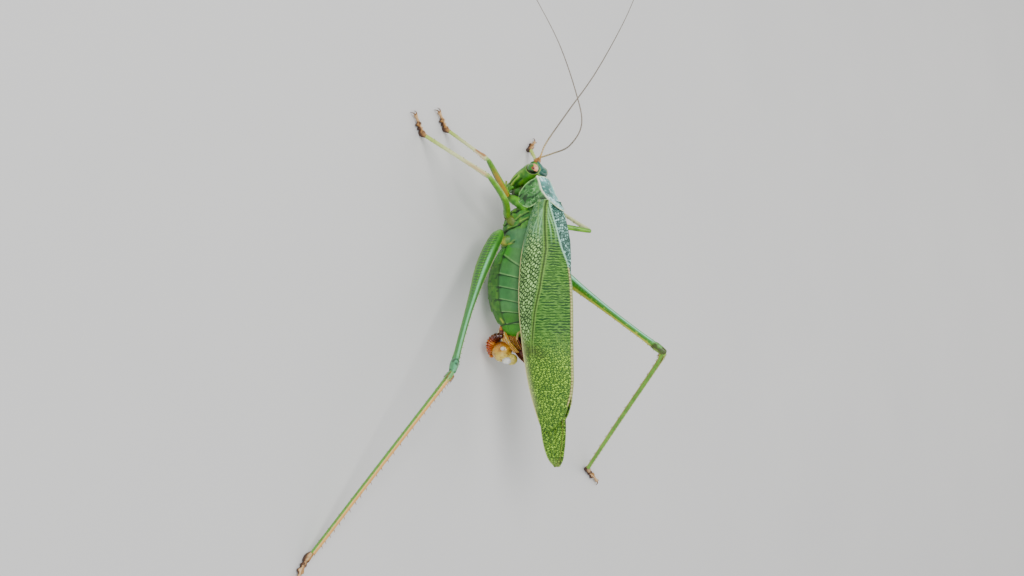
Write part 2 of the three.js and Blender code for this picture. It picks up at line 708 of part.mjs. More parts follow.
makeTrunk();
makePronotum();
makeHead();
makeMouth();
makeFeelers();
makeWings();
makeTailEnd();
makeSpermatophore();
makeLegs();

fit("head", ["antenna_left", "antenna_right", "pronotum"]);
fit("prothorax", ["head", "pronotum"]);
fit("mouthparts", ["head"]);
fit("palps_left", ["mouthparts", "head"]);
fit("palps_right", ["mouthparts", "head"]);
fit("thorax", ["prothorax", "pronotum"]);
fit("tegmen_left", ["pronotum"]);
fit("tegmen_right", ["pronotum"]);
fit("ovipositor", ["tail"]);
fit("cercus_left", ["tail"]);
fit("cercus_right", ["tail"]);
fit("spermatophore_sac", ["ovipositor", "tail"]);
fit("spermatophore_neck", ["abdomen", "tail", "ovipositor", "spermatophore_sac"]);
fit("spermatophore_lobe", ["spermatophore_sac", "spermatophore_neck", "abdomen", "tail"]);
for (const name of Object.keys(LEGS)) {
  fit("tibia_" + name, ["femur_" + name, "tarsus_" + name]);
  const neighbours = LEGS[name].kind === "front" ? ["prothorax", "pronotum", "thorax"] : ["thorax"];
  fit("coxa_" + name, neighbours);
  fit("femur_" + name, ["coxa_" + name, "thorax"]);
}

const stance = new THREE.Group();
for (const [name, { finish, piece }] of pieces) {
  const made = piece.simplify(TIDY).getMesh();
  const geometry = new THREE.BufferGeometry()
    .setAttribute("position", new THREE.BufferAttribute(made.vertProperties, 3))
    .setIndex(new THREE.BufferAttribute(made.triVerts, 1));
  const mesh = new THREE.Mesh(geometry, new THREE.MeshStandardMaterial(FINISH[finish]));
  mesh.name = name;
  stance.add(mesh);
}

const bounds = new THREE.Box3().setFromObject(stance, true);
stance.position.set(-(bounds.min.x + bounds.max.x) / 2, -(bounds.min.y + bounds.max.y) / 2, -bounds.min.z);

const katydid = new THREE.Group();
katydid.name = "katydid";
katydid.add(stance);

export default katydid;
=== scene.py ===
import math

import bmesh
import bpy
import numpy as np
from mathutils import Matrix, Vector


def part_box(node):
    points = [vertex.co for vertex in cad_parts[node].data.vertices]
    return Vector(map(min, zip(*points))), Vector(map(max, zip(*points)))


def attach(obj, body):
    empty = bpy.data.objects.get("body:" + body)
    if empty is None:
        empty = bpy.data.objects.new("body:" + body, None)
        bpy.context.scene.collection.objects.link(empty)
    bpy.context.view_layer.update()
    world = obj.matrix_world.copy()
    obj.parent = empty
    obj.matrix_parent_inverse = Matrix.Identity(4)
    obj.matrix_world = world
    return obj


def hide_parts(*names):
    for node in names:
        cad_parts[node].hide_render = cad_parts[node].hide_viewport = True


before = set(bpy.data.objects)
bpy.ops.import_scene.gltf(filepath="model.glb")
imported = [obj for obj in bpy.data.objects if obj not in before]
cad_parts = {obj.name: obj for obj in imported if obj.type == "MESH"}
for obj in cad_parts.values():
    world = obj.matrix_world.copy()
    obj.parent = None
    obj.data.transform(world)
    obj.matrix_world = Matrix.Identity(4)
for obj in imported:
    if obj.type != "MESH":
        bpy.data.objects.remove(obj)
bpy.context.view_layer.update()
MM = 0.001

# A female bush katydid. Shapes are worked out in millimetres, in three frames. The stance frame has its
# floor at z = 0 and its origin under the hind hips. The body frame leans a little to the right about the
# hips. The collar frame is the pronotum's, pitched nose down. +Y runs towards the head, and +X to the
# animal's right.

HIP_HEIGHT = 4.6
LEAN = math.radians(9)
COLLAR_AT, COLLAR_PITCH = (0, 7.45, 4.75), math.radians(-33)
EYE_AT, EYE_RADII = np.array([1.32, 8.92, 3.98]), np.array([0.78, 0.72, 0.88])
EYE_TILT = math.radians(24)

# Trunk sections: y, lowest z, highest z, half width.
THORAX = [
    (4.2, 1.5, 5.2, 1.6), (3.5, 0.1, 5.6, 2.1), (2.3, -1.0, 6.0, 2.45), (0.6, -1.4, 5.9, 2.65),
    (-1.9, -1.55, 5.2, 2.88),
]
ABDOMEN = [
    (-1.5, -1.5, 4.9, 2.75), (-3.4, -2.9, 4.7, 3.15), (-5.3, -3.6, 4.4, 3.35),
    (-7.2, -3.8, 4.0, 3.3), (-9.2, -3.6, 3.5, 3.05), (-11.0, -2.85, 2.9, 2.6),
    (-12.4, -1.95, 2.4, 1.95),
]
TAIL = [
    (-12.0, -1.9, 2.2, 1.8), (-12.5, -1.75, 2.1, 1.68), (-12.8, -1.4, 1.95, 1.4),
    (-13.0, -0.9, 1.7, 0.95), (-13.08, -0.4, 1.35, 0.4),
]
PROTHORAX = [
    (0.9, -2.9, -1.3, 0.8), (0.3, -3.8, -1.0, 1.2), (-0.9, -4.4, -0.85, 1.45),
    (-2.4, -4.2, -0.85, 1.5), (-4.3, -3.2, -0.9, 1.2),
]
# The head from the crown to the mouth: y, z, half width, reach forward, reach back.
HEAD = [
    (8.75, 4.98, 0.5, 0.4, 0.4), (8.8, 4.72, 1.15, 0.85, 0.85), (8.8, 4.15, 1.5, 1.2, 1.15),
    (8.7, 3.4, 1.62, 1.36, 1.2), (8.35, 2.4, 1.64, 1.22, 1.15), (7.85, 1.4, 1.52, 1.1, 0.9),
    (7.35, 0.6, 1.25, 1.0, 0.7), (7.0, 0.05, 0.95, 0.75, 0.5),
]
FACE_TILT = math.radians(27)
# Pronotum lobe: depth below the collar's origin, front edge and rear edge counted backwards.
LOBE = [
    (0, -0.2, 3.7), (0.4, -0.15, 3.5), (1.1, -0.27, 3.3), (2.0, -0.22, 3.2), (2.7, -0.05, 3.1),
    (3.2, 0.12, 2.8), (3.55, 0.45, 2.25), (3.77, 0.95, 1.6),
]
# Forewing: y, z of the lower edge, z of the crest, x of the lower edge, widest x, x of the crest.
TEGMEN = [
    (4.3, 4.75, 6.5, 2.2, 2.4, 1.6), (3.3, 4.5, 6.75, 2.65, 2.85, 2.0),
    (0.9, 3.9, 7.35, 3.15, 3.35, 1.85), (-2.0, 3.3, 7.85, 3.55, 3.65, 1.3),
    (-5.0, 2.95, 8.55, 3.85, 3.8, 0.65), (-9.0, 2.65, 8.8, 3.9, 3.75, 0.6),
    (-13.0, 2.52, 8.72, 3.35, 3.3, 0.6), (-17.5, 2.55, 8.62, 2.5, 2.6, 0.6),
    (-21.3, 2.85, 8.45, 1.75, 1.95, 0.65), (-24.2, 3.4, 7.6, 1.25, 1.4, 1.1),
    (-25.9, 4.0, 6.3, 1.22, 1.28, 1.2), (-26.6, 4.7, 5.4, 1.22, 1.25, 1.2),
]
# Folded hindwing: y, z of the lower edge, z of the upper edge.
HINDWING = [
    (-4.0, 5.6, 6.6), (-10.0, 5.6, 7.2), (-16.0, 5.7, 7.0), (-20.0, 5.1, 6.75), (-23.0, 3.9, 6.6),
    (-25.2, 3.6, 6.9), (-27.7, 3.8, 6.8), (-29.6, 4.3, 6.5), (-30.9, 5.0, 6.2), (-31.3, 5.5, 5.9),
]
# Ovipositor: y, z of its middle, half depth.
OVIPOSITOR = [
    (-12.6, -0.1, 1.0), (-13.2, -0.1, 1.2), (-15.0, 0.85, 1.42), (-16.5, 2.15, 1.3),
    (-17.6, 3.65, 0.9), (-18.1, 4.9, 0.22),
]

# Knee, ankle and toe of each leg, in the stance frame. A sag scales its thigh's own.
LEGS = {
    "front_left": dict(
        kind="front", side=-1, knee=(-7.6, 9.3, 6.6), ankle=(-8.8, 13.9, 1.0), toe=(-10.2, 16.4),
    ),
    "front_right": dict(
        kind="front", side=1, knee=(7.3, 8.6, 5.1), ankle=(9.15, 14.4, 1.0), toe=(10.75, 16.0),
    ),
    "middle_left": dict(
        kind="middle", side=-1, knee=(-10.3, 6.3, 8.9), ankle=(-13.5, 12.4, 1.0), toe=(-14.9, 15.1),
    ),
    "middle_right": dict(
        kind="middle", side=1, knee=(10.7, 1.5, 9.9), ankle=(12.3, 7.1, 1.0), toe=(14.3, 9.3),
        sag=-0.5,
    ),
    "hind_left": dict(
        kind="hind", side=-1, knee=(-18.3, -19.1, 9.0), ankle=(-33.7, -39.7, 1.0),
        toe=(-35.9, -42.9), sag=1.0,
    ),
    "hind_right": dict(
        kind="hind", side=1, knee=(11.6, -16.4, 20.8), ankle=(21.2, -32.0, 1.0), toe=(24.1, -34.1),
        sag=0.68,
    ),
}
# Hip, joint and thigh base in the body frame, and the coxa's radius. Limb rows: share of the length, half
# width, half depth, sag below the straight line.
KINDS = {
    "front": dict(
        hip=(1.85, 3.6, 3.1), joint=(2.15, 5.35, 0.4), base=(2.15, 5.35, 0.4), coxa=0.7,
        femur=[
            (0, 0.3, 0.32, 0), (0.1, 0.43, 0.49, 0), (0.5, 0.41, 0.48, 0), (0.9, 0.33, 0.41, 0),
            (1, 0.26, 0.3, 0),
        ],
        tibia=[
            (0, 0.24, 0.26, 0), (0.12, 0.36, 0.34, 0), (0.26, 0.25, 0.25, 0), (0.6, 0.22, 0.23, 0),
            (1, 0.25, 0.25, 0),
        ],
    ),
    "middle": dict(
        hip=(1.9, 1.5, 1.3), joint=(2.55, 2.45, 0.45), base=(2.55, 2.45, 0.45), coxa=0.66,
        femur=[
            (0, 0.32, 0.34, 0), (0.12, 0.46, 0.52, -0.3), (0.3, 0.43, 0.49, -0.8),
            (0.5, 0.4, 0.47, -1.05), (0.72, 0.37, 0.43, -0.8), (0.92, 0.32, 0.4, -0.25),
            (1, 0.26, 0.3, 0),
        ],
        tibia=[
            (0, 0.26, 0.26, 0), (0.08, 0.31, 0.32, 0), (0.5, 0.25, 0.25, 0), (1, 0.26, 0.26, 0),
        ],
    ),
    "hind": dict(
        hip=(1.9, -0.7, 0.6), joint=(2.95, -0.8, -0.4), base=(3.0, 0.5, -0.35), coxa=0.75,
        femur=[
            (0, 0.35, 0.45, 0.2), (0.02, 0.6, 0.8, 0.3), (0.06, 0.74, 1.0, 0.5),
            (0.13, 0.78, 1.1, 0.8), (0.22, 0.75, 1.08, 1.02), (0.32, 0.64, 0.94, 1.1),
            (0.44, 0.5, 0.68, 0.98), (0.6, 0.38, 0.48, 0.78), (0.76, 0.34, 0.42, 0.5),
            (0.88, 0.34, 0.42, 0.24), (0.95, 0.44, 0.56, 0.1), (1, 0.34, 0.44, 0),
        ],
        tibia=[
            (0, 0.3, 0.32, 0), (0.03, 0.38, 0.44, 0), (0.1, 0.34, 0.36, -0.1), (0.6, 0.31, 0.33, 0),
            (1, 0.3, 0.3, 0),
        ],
    ),
}
# Tarsus: share of the length, half width, lowest z, highest z.
TARSUS = [
    (0, 0.25, 0.5, 1.12), (0.1, 0.34, 0, 0.98), (0.27, 0.36, 0, 0.78), (0.33, 0.22, 0.16, 0.68),
    (0.42, 0.38, 0, 0.7), (0.5, 0.22, 0.16, 0.62), (0.62, 0.52, 0, 0.66), (0.7, 0.2, 0.22, 0.66),
    (0.85, 0.17, 0.26, 0.6), (1, 0.24, 0.14, 0.62),
]
# Points along each feeler, in the stance frame.
FEELERS = {
    "antenna_left": [
        (0.1, 10.0, 8.45), (0.0, 10.4, 9.3), (-0.3, 10.55, 11.7), (-0.8, 11.0, 15.0),
        (-1.2, 13.4, 17.35), (-2.0, 17.5, 17.2), (-4.0, 24.5, 15.9), (-7.0, 32.0, 13.5),
    ],
    "antenna_right": [
        (1.1, 9.95, 8.3), (1.3, 10.9, 8.55), (1.6, 12.9, 9.5), (1.75, 16.6, 13.2),
        (2.3, 21.2, 17.5), (4.0, 28.0, 21.3), (7.0, 34.5, 22.5),
    ],
}
SAC_AT, SAC_RADIUS = np.array([-0.9, -15.65, -1.8]), 1.42

# ---------- colours, 0 to 255 ----------

DEPTH = 1.35  # deepens every paint, to make up for the wash of the studio light


def rgb(text):
    return 255 * (np.array([int(text[i:i + 2], 16) for i in (0, 2, 4)]) / 255) ** DEPTH


FACE, FACE_DARK, FACE_PALE = rgb("6bb02c"), rgb("2c6318"), rgb("c2dc5e")
CROWN, CROWN_EDGE = rgb("4f9584"), rgb("1f5a50")
DISC, DISC_PALE, CARINA = rgb("86cac4"), rgb("eafffe"), rgb("f4fae2")
LOBE_DARK, LOBE_PALE, RIM = rgb("3e8238"), rgb("b0d8a4"), rgb("b5dd98")
PLATE, PLATE_PALE, PLATE_DARK = rgb("649e5c"), rgb("a8d08c"), rgb("1b4524")
FLANK, TAIL_EDGE = rgb("4f8832"), rgb("d0d84a")
FEMUR, FEMUR_DARK, MINT, OLIVE = rgb("559c30"), rgb("1e4c16"), rgb("98d8b0"), rgb("8a9422")
LIME, YELLOW, AMBER_STREAK = rgb("92c832"), rgb("dbd85a"), rgb("cca44c")
SHIN, SHIN_BROWN, PALE_SHIN = rgb("8cc43e"), rgb("ecbc74"), rgb("e4e8b4")
FOOT, FOOT_DARK, FOOT_PALE = rgb("bc9458"), rgb("5e3c20"), rgb("f6dcb8")
TAN, GREY_TAN, SCAPE = rgb("dccaa0"), rgb("aca294"), rgb("c29458")
HORN, HORN_DARK, HORN_PALE = rgb("7e3a26"), rgb("451a12"), rgb("d08c40")
PEACH, PEACH_DARK, EYE_GREEN, EYE_RIM = rgb("f4a070"), rgb("c8602c"), rgb("4a9426"), rgb("18300e")
CREAM, BEAD, R_VEIN, VEIN_EDGE = rgb("e6dca4"), rgb("5e4a2c"), rgb("4c661e"), rgb("98bc62")


def to_linear(colour):
    """Linear light from 0 to 1, of a display colour from 0 to 255."""
    c = np.asarray(colour, float) / 255
    return np.where(c <= 0.04045, c / 12.92, ((c + 0.055) / 1.055) ** 2.4)


def mix(a, b, share):
    """Paint a with the given share of paint b. A paint is an array, or six hex digits."""
    a, b = (rgb(paint) if isinstance(paint, str) else paint for paint in (a, b))
    return a + (b - a) * np.asarray(share, float)[..., None]


def painted(colour, *coats):
    """The colour under coats of paint, each with the share of it that shows."""
    for paint, share in coats:
        colour = mix(colour, paint, share)
    return colour


# ---------- shape tools ----------

def unit(v):
    return v / np.maximum(np.linalg.norm(v, axis=-1, keepdims=True), 1e-12)


def smooth(x, low, high):
    t = np.clip((np.asarray(x, float) - low) / (high - low), 0, 1)
    return t * t * (3 - 2 * t)


def fade(x, low, high):
    return 1 - smooth(x, low, high)


def rows_at(rows, t):
    """The row at share t of the way, on a smooth curve through all rows."""
    rows = np.asarray(rows, float)
    last = len(rows) - 1
    place = np.clip(np.asarray(t, float), 0, 1) * last
    i = np.minimum(place.astype(int), last - 1)
    f = (place - i)[..., None]
    a, b, c, d = (rows[np.clip(i + k, 0, last)] for k in (-1, 0, 1, 2))
    return b + 0.5 * f * (c - a + f * (2 * a - 5 * b + 4 * c - d + f * (3 * (b - c) + d - a)))


def turn(axis, angle):
    return np.array(Matrix.Rotation(angle, 4, axis))


def shift(x, y, z):
    return np.array(Matrix.Translation((x, y, z)))


BODY = shift(0, 0, HIP_HEIGHT) @ turn("Y", LEAN)
COLLAR = BODY @ shift(*COLLAR_AT) @ turn("X", COLLAR_PITCH)


def placed(p, matrix):
    return np.asarray(p, float) @ matrix[:3, :3].T + matrix[:3, 3]


# Where the stance frame's origin lies in the part's frame, from the eyes' middle.
eye_corners = [corner for name in ("eye_left", "eye_right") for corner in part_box(name)]
eyes_middle = np.array(sum(eye_corners, Vector()) / 4) / MM
ORIGIN = eyes_middle - placed([0, EYE_AT[1], EYE_AT[2]], BODY)
ORIGIN[2] = 0


def blotch(p, size, seed=0):
    """Smooth noise from 0 to 1, with patches of about the given size."""
    q = np.asarray(p, float) / size + seed * 7.31 + 100
    i = np.floor(q).astype(np.int64)
    f = q - i
    f = f * f * (3 - 2 * f)
    total = 0
    for corner in range(8):
        d = np.array([corner & 1, corner >> 1 & 1, corner >> 2 & 1])
        c = i + d
        h = (c[..., 0] * 374761393 + c[..., 1] * 668265263 + c[..., 2] * 2246822519) & 0xFFFFFFFF
        h = ((h ^ (h >> 13)) * 1274126177) & 0xFFFFFFFF
        h = (h ^ (h >> 16)) & 0xFFFF
        total = total + np.prod(np.where(d, f, 1 - f), axis=-1) * h / 65535
    return total


def patches(p, size, seed, low, high):
    """Noise turned into patches with soft edges: 0 where it is below low, 1 where it is above high."""
    return smooth(blotch(p, size, seed), low, high)


def wrinkle(p, size, seed=0):
    """Thin winding ridges: 1 on a ridge, 0 between."""
    return np.exp(-((blotch(p, size, seed) - 0.5) / 0.06) ** 2)


def bell(x, width):
    """1 where x is 0, falling off to both sides over width."""
    return np.exp(-(x / width) ** 2)


def near_line(y, z, line, width):
    """1 on a line of (y, z) points, falling off over width."""
    best = np.full(np.broadcast(y, z).shape, 1e9)
    for (ay, az), (by, bz) in zip(line, line[1:]):
        d = (by - ay, bz - az)
        s = np.clip(((y - ay) * d[0] + (z - az) * d[1]) / (d[0] ** 2 + d[1] ** 2), 0, 1)
        best = np.minimum(best, (y - ay - s * d[0]) ** 2 + (z - az - s * d[1]) ** 2)
    return np.exp(-best / width ** 2)


def normals(p, wrap=False):
    if wrap:
        around = np.roll(p, -1, 1) - np.roll(p, 1, 1)
    else:
        around = np.gradient(p, axis=1)
    n = unit(np.cross(np.gradient(p, axis=0), around))
    out = p - p.mean(axis=1, keepdims=True)
    return n if wrap is False or (n * out).sum() > 0 else -n


def raised(p, height):
    """A closed grid moved out along its normals by the height at each point."""
    return p + normals(p, True) * height[..., None]


def arc(p, axis):
    """Distance run along one direction of a grid."""
    step = np.linalg.norm(np.diff(p, axis=axis), axis=-1)
    zero = np.zeros_like(np.take(step, [0], axis))
    return np.cumsum(np.concatenate([zero, step], axis), axis)


TRUNK_SQUARE, LIMB_SQUARE = 2.2, 2.3  # 2 is a plain ellipse, and more is squarer


def bulge(v, square):
    """The sine or cosine v of an ellipse, moved towards a rectangle's."""
    return np.sign(v) * np.abs(v) ** (2 / square)


def trunk_grid(rows, n, m):
    y, low, high, half = np.moveaxis(rows_at(rows, np.linspace(0, 1, n)), -1, 0)[:, :, None]
    a = 2 * np.pi * np.arange(m) / m
    z = (low + high) / 2 + (high - low) / 2 * bulge(np.sin(a), TRUNK_SQUARE)
    return np.stack([half * bulge(np.cos(a), TRUNK_SQUARE), y + 0 * a, z], -1)


def limb_grid(start, end, dorsal, rows, n, m):
    """A limb. Angle 0 is across it, a quarter turn is its back."""
    start, end = np.array(start, float), np.array(end, float)
    along = unit(end - start)
    across = unit(np.cross(along, dorsal))
    up = np.cross(across, along)
    r = rows_at(rows, np.linspace(0, 1, n))
    share, half, depth, sag = (r[:, k, None, None] for k in range(4))
    a = 2 * np.pi * np.arange(m) / m
    ca = bulge(np.cos(a), LIMB_SQUARE)[None, :, None]
    sa = bulge(np.sin(a), LIMB_SQUARE)[None, :, None]
    p = start + (end - start) * share + across * half * ca + up * (depth * sa - sag)
    return p, np.broadcast_to(r[:, 0, None], (n, m)), np.broadcast_to(a, (n, m)), (along, across, up)


def along_curve(points, n):
    """n points evenly spaced along a smooth curve."""
    fine = rows_at(points, np.linspace(0, 1, 600))
    run = np.concatenate([[0], np.cumsum(np.linalg.norm(np.diff(fine, axis=0), axis=1))])
    at = np.linspace(0, run[-1], n)
    return np.stack([np.interp(at, run, fine[:, k]) for k in range(3)], -1), at


def tube_grid(path, radii, m):
    path = np.asarray(path, float)
    t = unit(np.gradient(path, axis=0))
    side = unit(np.cross(t, np.array([0.13, 0.21, 0.97])))
    up = np.cross(side, t)
    a = 2 * np.pi * np.arange(m) / m
    ca, sa = np.cos(a)[None, :, None], np.sin(a)[None, :, None]
    radii = np.broadcast_to(radii, len(path))[:, None, None]
    return path[:, None] + radii * (side[:, None] * ca + up[:, None] * sa)


def ball_grid(centre, radii, n=28, m=40):
    u = np.linspace(0.02, np.pi - 0.02, n)[:, None]
    a = 2 * np.pi * np.arange(m)[None] / m
    d = np.stack([np.sin(u) * np.cos(a), np.sin(u) * np.sin(a), np.cos(u) + 0 * a], -1)
    return np.asarray(centre) + d * radii, d


class Skin:
    """Collects grids of points, with a colour at each, into one mesh."""

    def __init__(self):
        self.points, self.faces, self.tints, self.uvs, self.zones, self.count = [], [], [], [], [], 0

    def grid(self, p, tint, wrap=False, uv=None, zone=None):
        """A grid of quads. A wrapped one is a tube, with a fan of triangles over each end."""
        n, m = p.shape[:2]
        ids = self.count + np.arange(n * m).reshape(n, m)
        across = np.concatenate([ids, ids[:, :1]], 1) if wrap else ids
        quads = np.stack([across[:-1, :-1], across[:-1, 1:], across[1:, 1:], across[1:, :-1]], -1)
        self.faces += quads.reshape(-1, 4).tolist()
        tint = np.broadcast_to(tint, p.shape)
        points, tints = [p.reshape(-1, 3)], [tint.reshape(-1, 3)]
        if wrap:
            for row, back in ((0, True), (n - 1, False)):
                middle = self.count + n * m + (0 if back else 1)
                points.append(p[row].mean(0)[None])
                tints.append(tint[row].mean(0)[None])
                ring = across[row]
                sides = zip(ring[:-1].tolist(), ring[1:].tolist())
                self.faces += [(middle, a, b) if back else (middle, b, a) for a, b in sides]
        points = np.concatenate(points)
        self.points.append(points)
        self.tints.append(np.concatenate(tints))
        self.uvs.append(np.zeros((len(points), 2)) if uv is None else uv.reshape(-1, 2))
        self.zones.append(np.zeros((len(points), 4)) if zone is None else zone.reshape(-1, 4))
        self.count += len(points)
        return self

    def tube(self, p, tint):
        """A tube with rounded ends."""
        steps, dome = 4, 0.7  # rings in each end, and its height for each unit of radius
        angles = np.linspace(0, 1.5, steps + 1)[1:]
        tint = np.broadcast_to(tint, p.shape)
        for last in (False, True):
            ring, inner = (p[-1], p[-2]) if last else (p[0], p[1])
            centre = ring.mean(0)
            radius = np.linalg.norm(ring - centre, axis=1).mean()
            out = unit(centre - inner.mean(0)) * radius * dome
            caps = np.array([centre + (ring - centre) * math.cos(a) + out * math.sin(a) for a in angles])
            skin = np.repeat(tint[-1:] if last else tint[:1], steps, 0)
            p = np.concatenate([p, caps] if last else [caps[::-1], p])
            tint = np.concatenate([tint, skin] if last else [skin, tint])
        return self.grid(p, tint, wrap=True)

    def shell(self, p, tint, thickness, uv=None, zone=None, out=None):
        """A thin sheet with an outer face, an inner face and an edge."""
        n = normals(p)
        n = n if (n * out).sum() > 0 else -n
        inner = p - n * thickness
        tint = np.broadcast_to(tint, p.shape)
        for face in (p, inner):
            self.grid(face, tint, uv=uv, zone=zone)

        def rim(g):
            return np.concatenate([g[:, 0], g[-1, 1:], g[::-1, -1][1:], g[0, ::-1][1:]])

        def both(g):
            return None if g is None else np.stack([rim(g)] * 2)

        return self.grid(np.stack([rim(p), rim(inner)]), both(tint), uv=both(uv), zone=both(zone))

    def spike(self, at, way, length, radius, tint, tip=None):
        """A small spine or hair."""
        at, way = np.asarray(at, float), unit(np.asarray(way, float))
        side = unit(np.cross(way, [0.31, 0.52, 0.79]))
        up = np.cross(way, side)
        a = 2 * np.pi * np.arange(5) / 5
        shares = np.array([-0.15, 0.35, 0.7, 1.0])[:, None, None]
        r = radius * np.array([1.0, 0.75, 0.45, 0.08])[:, None, None]
        ca, sa = np.cos(a)[None, :, None], np.sin(a)[None, :, None]
        p = at + way * length * shares + r * (side * ca + up * sa)
        tip = tint if tip is None else tip
        return self.grid(p, mix(np.asarray(tint), tip, np.clip(shares[..., 0], 0, 1) + 0 * a), wrap=True)

    def build(self, name, material, nodes=(), slot=None):
        points = (np.concatenate(self.points) + ORIGIN) * MM
        mesh = bpy.data.meshes.new(name)
        mesh.from_pydata(points, [], self.faces)
        mesh.validate()
        tints = to_linear(np.concatenate(self.tints))
        opaque = np.ones((len(tints), 1))
        colour = mesh.attributes.new("tint", "FLOAT_COLOR", "POINT")
        colour.data.foreach_set("color", np.hstack([tints, opaque]).astype(np.float32).ravel())
        if any(z.any() for z in self.zones):
            zone = mesh.attributes.new("zone", "FLOAT_COLOR", "POINT")
            zone.data.foreach_set("color", np.concatenate(self.zones).astype(np.float32).ravel())
        uv = mesh.uv_layers.new(name="UVMap")
        loops = np.zeros(len(mesh.loops), np.int32)
        mesh.loops.foreach_get("vertex_index", loops)
        uv.data.foreach_set("uv", np.concatenate(self.uvs)[loops].astype(np.float32).ravel())
        bm = bmesh.new()
        bm.from_mesh(mesh)
        bmesh.ops.recalc_face_normals(bm, faces=bm.faces)
        bm.to_mesh(mesh)
        bm.free()
        mesh.polygons.foreach_set("use_smooth", np.ones(len(mesh.polygons), bool))
        obj = bpy.data.objects.new(name, mesh)
        bpy.context.scene.collection.objects.link(obj)
        mesh.materials.append(material)
        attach(obj, "root")
        if nodes:
            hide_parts(*nodes)
        return obj


# ---------- materials ----------

class Nodes:
    """Builds one node material around a Principled shader."""

    def __init__(self, name):
        self.material = bpy.data.materials.new(name)
        self.material.use_nodes = True
        self.tree = self.material.node_tree
        self.tree.nodes.clear()
        out = self.tree.nodes.new("ShaderNodeOutputMaterial")
        self.shader = self.tree.nodes.new("ShaderNodeBsdfPrincipled")
        self.tree.links.new(self.shader.outputs[0], out.inputs[0])

    def put(self, socket, value):
        if isinstance(value, bpy.types.NodeSocket):
            self.tree.links.new(value, socket)
        else:
            socket.default_value = value

    def add(self, kind, inputs=(), out=0, **settings):
        node = self.tree.nodes.new("ShaderNode" + kind)
        for key, value in settings.items():
            setattr(node, key, value)
        for key, value in dict(inputs).items():
            self.put(node.inputs[key], value)
        return node.outputs[out]

    def math(self, operation, *values):
        return self.add("Math", dict(enumerate(values)), operation=operation)

    def step(self, value, low, high, start=0.0, end=1.0):
        return self.add("MapRange", {0: value, 1: low, 2: high, 3: start, 4: end},
                interpolation_type="SMOOTHSTEP")

    def mix(self, share, a, b):
        a, b = (v if isinstance(v, bpy.types.NodeSocket) else linear(v) for v in (a, b))
        return self.add("Mix", {0: share, 6: a, 7: b}, out=2, data_type="RGBA")

    def shade(self, **inputs):
        for key, value in inputs.items():
            self.put(self.shader.inputs[key.replace("_", " ")], value)
        return self.material


def linear(colour):
    return (*to_linear(colour), 1.0)


def cuticle(name, rough=0.42, mottle=0.14, patch=0.6, grain=0.07, depth=0.012, coat=0.0, soft=0.0):
    """Insect skin: the painted colour with fine mottling, and a pebbled surface."""
    n = Nodes(name)
    tint = n.add("Attribute", attribute_name="tint")
    place = n.add("TexCoord", out=3)
    mottling = n.add("TexNoise", {"Vector": place, "Scale": 1000 / patch, "Detail": 5.0, "Roughness": 0.62})
    light = n.add("MapRange", {0: mottling, 1: 0.3, 2: 0.7, 3: 1 - mottle, 4: 1 + mottle})
    colour = n.add("VectorMath", {0: tint, "Scale": light}, operation="SCALE")
    pebbles = n.add("TexVoronoi", {"Vector": place, "Scale": 1000 / grain})
    height = n.math("ADD", n.math("MULTIPLY", pebbles, -1.0), n.math("MULTIPLY", mottling, 1.5))
    bump = n.add("Bump", {"Strength": 1.0, "Distance": depth * MM, "Height": height})
    shine = n.add("MapRange", {0: mottling, 1: 0.3, 2: 0.7, 3: rough - 0.07, 4: rough + 0.09})
    n.shade(Base_Color=colour, Roughness=shine, Normal=bump, Coat_Weight=coat, Coat_Roughness=0.18)
    if soft:
        n.shade(Subsurface_Weight=soft, Subsurface_Radius=(1.0, 1.0, 0.35), Subsurface_Scale=0.0004)
    return n.material


